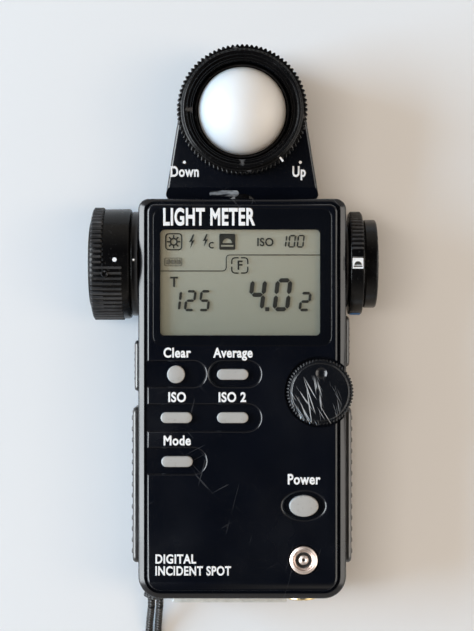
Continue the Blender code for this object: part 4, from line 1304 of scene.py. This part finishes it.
CORD_RADIUS = 1.1
STRAP_ROUTE = (
    (-27.4, -5.2, 6.6), (-27.9, -9, 4.0), (-28.4, -14, 1.9), (-28.9, -20, 1.15),
    (-30.0, -28, 1.15), (-34.5, -39, 1.15), (-41.0, -51, 1.15), (-43.0, -65, 1.15),
    (-36.0, -79, 1.15), (-21.0, -87, 1.15), (-3.0, -88, 1.15), (12.0, -80, 1.15),
    (18.5, -65, 1.15), (14.5, -50, 1.15), (3.0, -40, 1.15), (-10.0, -34, 1.15),
    (-20.0, -28, 1.15), (-25.0, -20.5, 1.15), (-25.6, -14, 1.9), (-25.3, -9, 4.0),
    (-24.9, -5.2, 6.6),
)


def smooth_route(points, spacing):
    """Points along a smooth curve through the given ones, at an even spacing."""
    given = [Vector(point) for point in points]
    padded = [2 * given[0] - given[1], *given, 2 * given[-1] - given[-2]]
    dense = []
    for a, b, c, d in zip(padded, padded[1:], padded[2:], padded[3:]):
        for step in range(20):
            t = step / 20
            bend = (-a + 3 * b - 3 * c + d) * t**3 + (2 * a - 5 * b + 4 * c - d) * t**2
            dense.append((bend + (c - a) * t + 2 * b) / 2)
    dense.append(given[-1])
    lengths = [0.0]
    for before, after in zip(dense, dense[1:]):
        lengths.append(lengths[-1] + (after - before).length)
    count = round(lengths[-1] / spacing)
    route = []
    index = 0
    for step in range(count + 1):
        target = lengths[-1] * step / count
        while index < len(lengths) - 2 and lengths[index + 1] < target:
            index += 1
        span = lengths[index + 1] - lengths[index]
        route.append(dense[index].lerp(dense[index + 1], (target - lengths[index]) / span))
    return route


def tube(route, radius, sides=16, into=None, pitch=6.0):
    """A round cord along a route, with UVs that count braid lengths along and turns round."""
    shape = into or bmesh.new()
    uv = shape.loops.layers.uv.verify()
    rings = []
    run = 0.0
    normal = Vector((0, 0, 1))
    for index, point in enumerate(route):
        before, after = route[max(index - 1, 0)], route[min(index + 1, len(route) - 1)]
        along = (after - before).normalized()
        normal = (normal - along * normal.dot(along)).normalized()
        side = along.cross(normal)
        if index:
            run += (point - route[index - 1]).length
        ring = []
        for step in range(sides):
            angle = 2 * math.pi * step / sides
            offset = (normal * math.cos(angle) + side * math.sin(angle)) * radius
            ring.append(shape.verts.new(row(*(point + offset))))
        rings.append((ring, run / pitch))
    for (lower, low), (upper, high) in zip(rings, rings[1:]):
        for step in range(sides):
            after = (step + 1) % sides
            face = shape.faces.new((lower[step], upper[step], upper[after], lower[after]))
            turns = (step / sides, step / sides, (step + 1) / sides, (step + 1) / sides)
            for loop, turn, length in zip(face.loops, turns, (low, high, high, low)):
                loop[uv].uv = (length, turn)
    shape.faces.new(rings[0][0])
    shape.faces.new(reversed(rings[-1][0]))
    bmesh.ops.recalc_face_normals(shape, faces=shape.faces)
    return shape


def ring_route(centre, radius, start, end, steps=24):
    """An arc round a vertical axis."""
    return [Vector((x, y, centre[2])) for x, y in arc(*centre[:2], radius, start, end, steps)]


def strap():
    route = smooth_route(STRAP_ROUTE, 1.2)
    cord = piece("strap_braid", tube(route, CORD_RADIUS), "strap_cord", sharp=60)
    pin = middle("strap_pin")
    hitch = tube(ring_route((pin[0], pin[1], 8.0), 2.2, 20, 350), CORD_RADIUS)
    for x in (STRAP_ROUTE[0][0], STRAP_ROUTE[-1][0]):
        points = [(pin[0] + (x - pin[0]) * 0.6, 2.0, 7.6), (x, -1.0, 7.4), (x, -5.2, 6.6)]
        tube(smooth_route(points, 0.8), CORD_RADIUS, into=hitch)
    wrap = [
        (-29.0, -1.6, 6.6), (-27.6, -1.9, 8.5), (-26.1, -2.1, 8.9), (-24.4, -1.9, 8.4),
        (-23.4, -1.6, 6.9), (-24.6, -1.3, 5.6), (-27.0, -1.3, 5.3), (-28.9, -1.2, 6.2),
    ]
    tube(smooth_route(wrap, 0.6), 0.85, into=hitch)
    knot = piece("strap_loop_hitch", hitch, "strap_hitch", sharp=60)


finish_cad_nodes()
set_camera()
set_stage()
front_case()
front_panel()
window()
rear_case()
battery_cover()
grips()
side_buttons()
keys()
jog_wheel()
sync_terminal()
tripod_bush()
head()
zoom_side()
eyepiece_side()
labels()
display_figures()
strap()
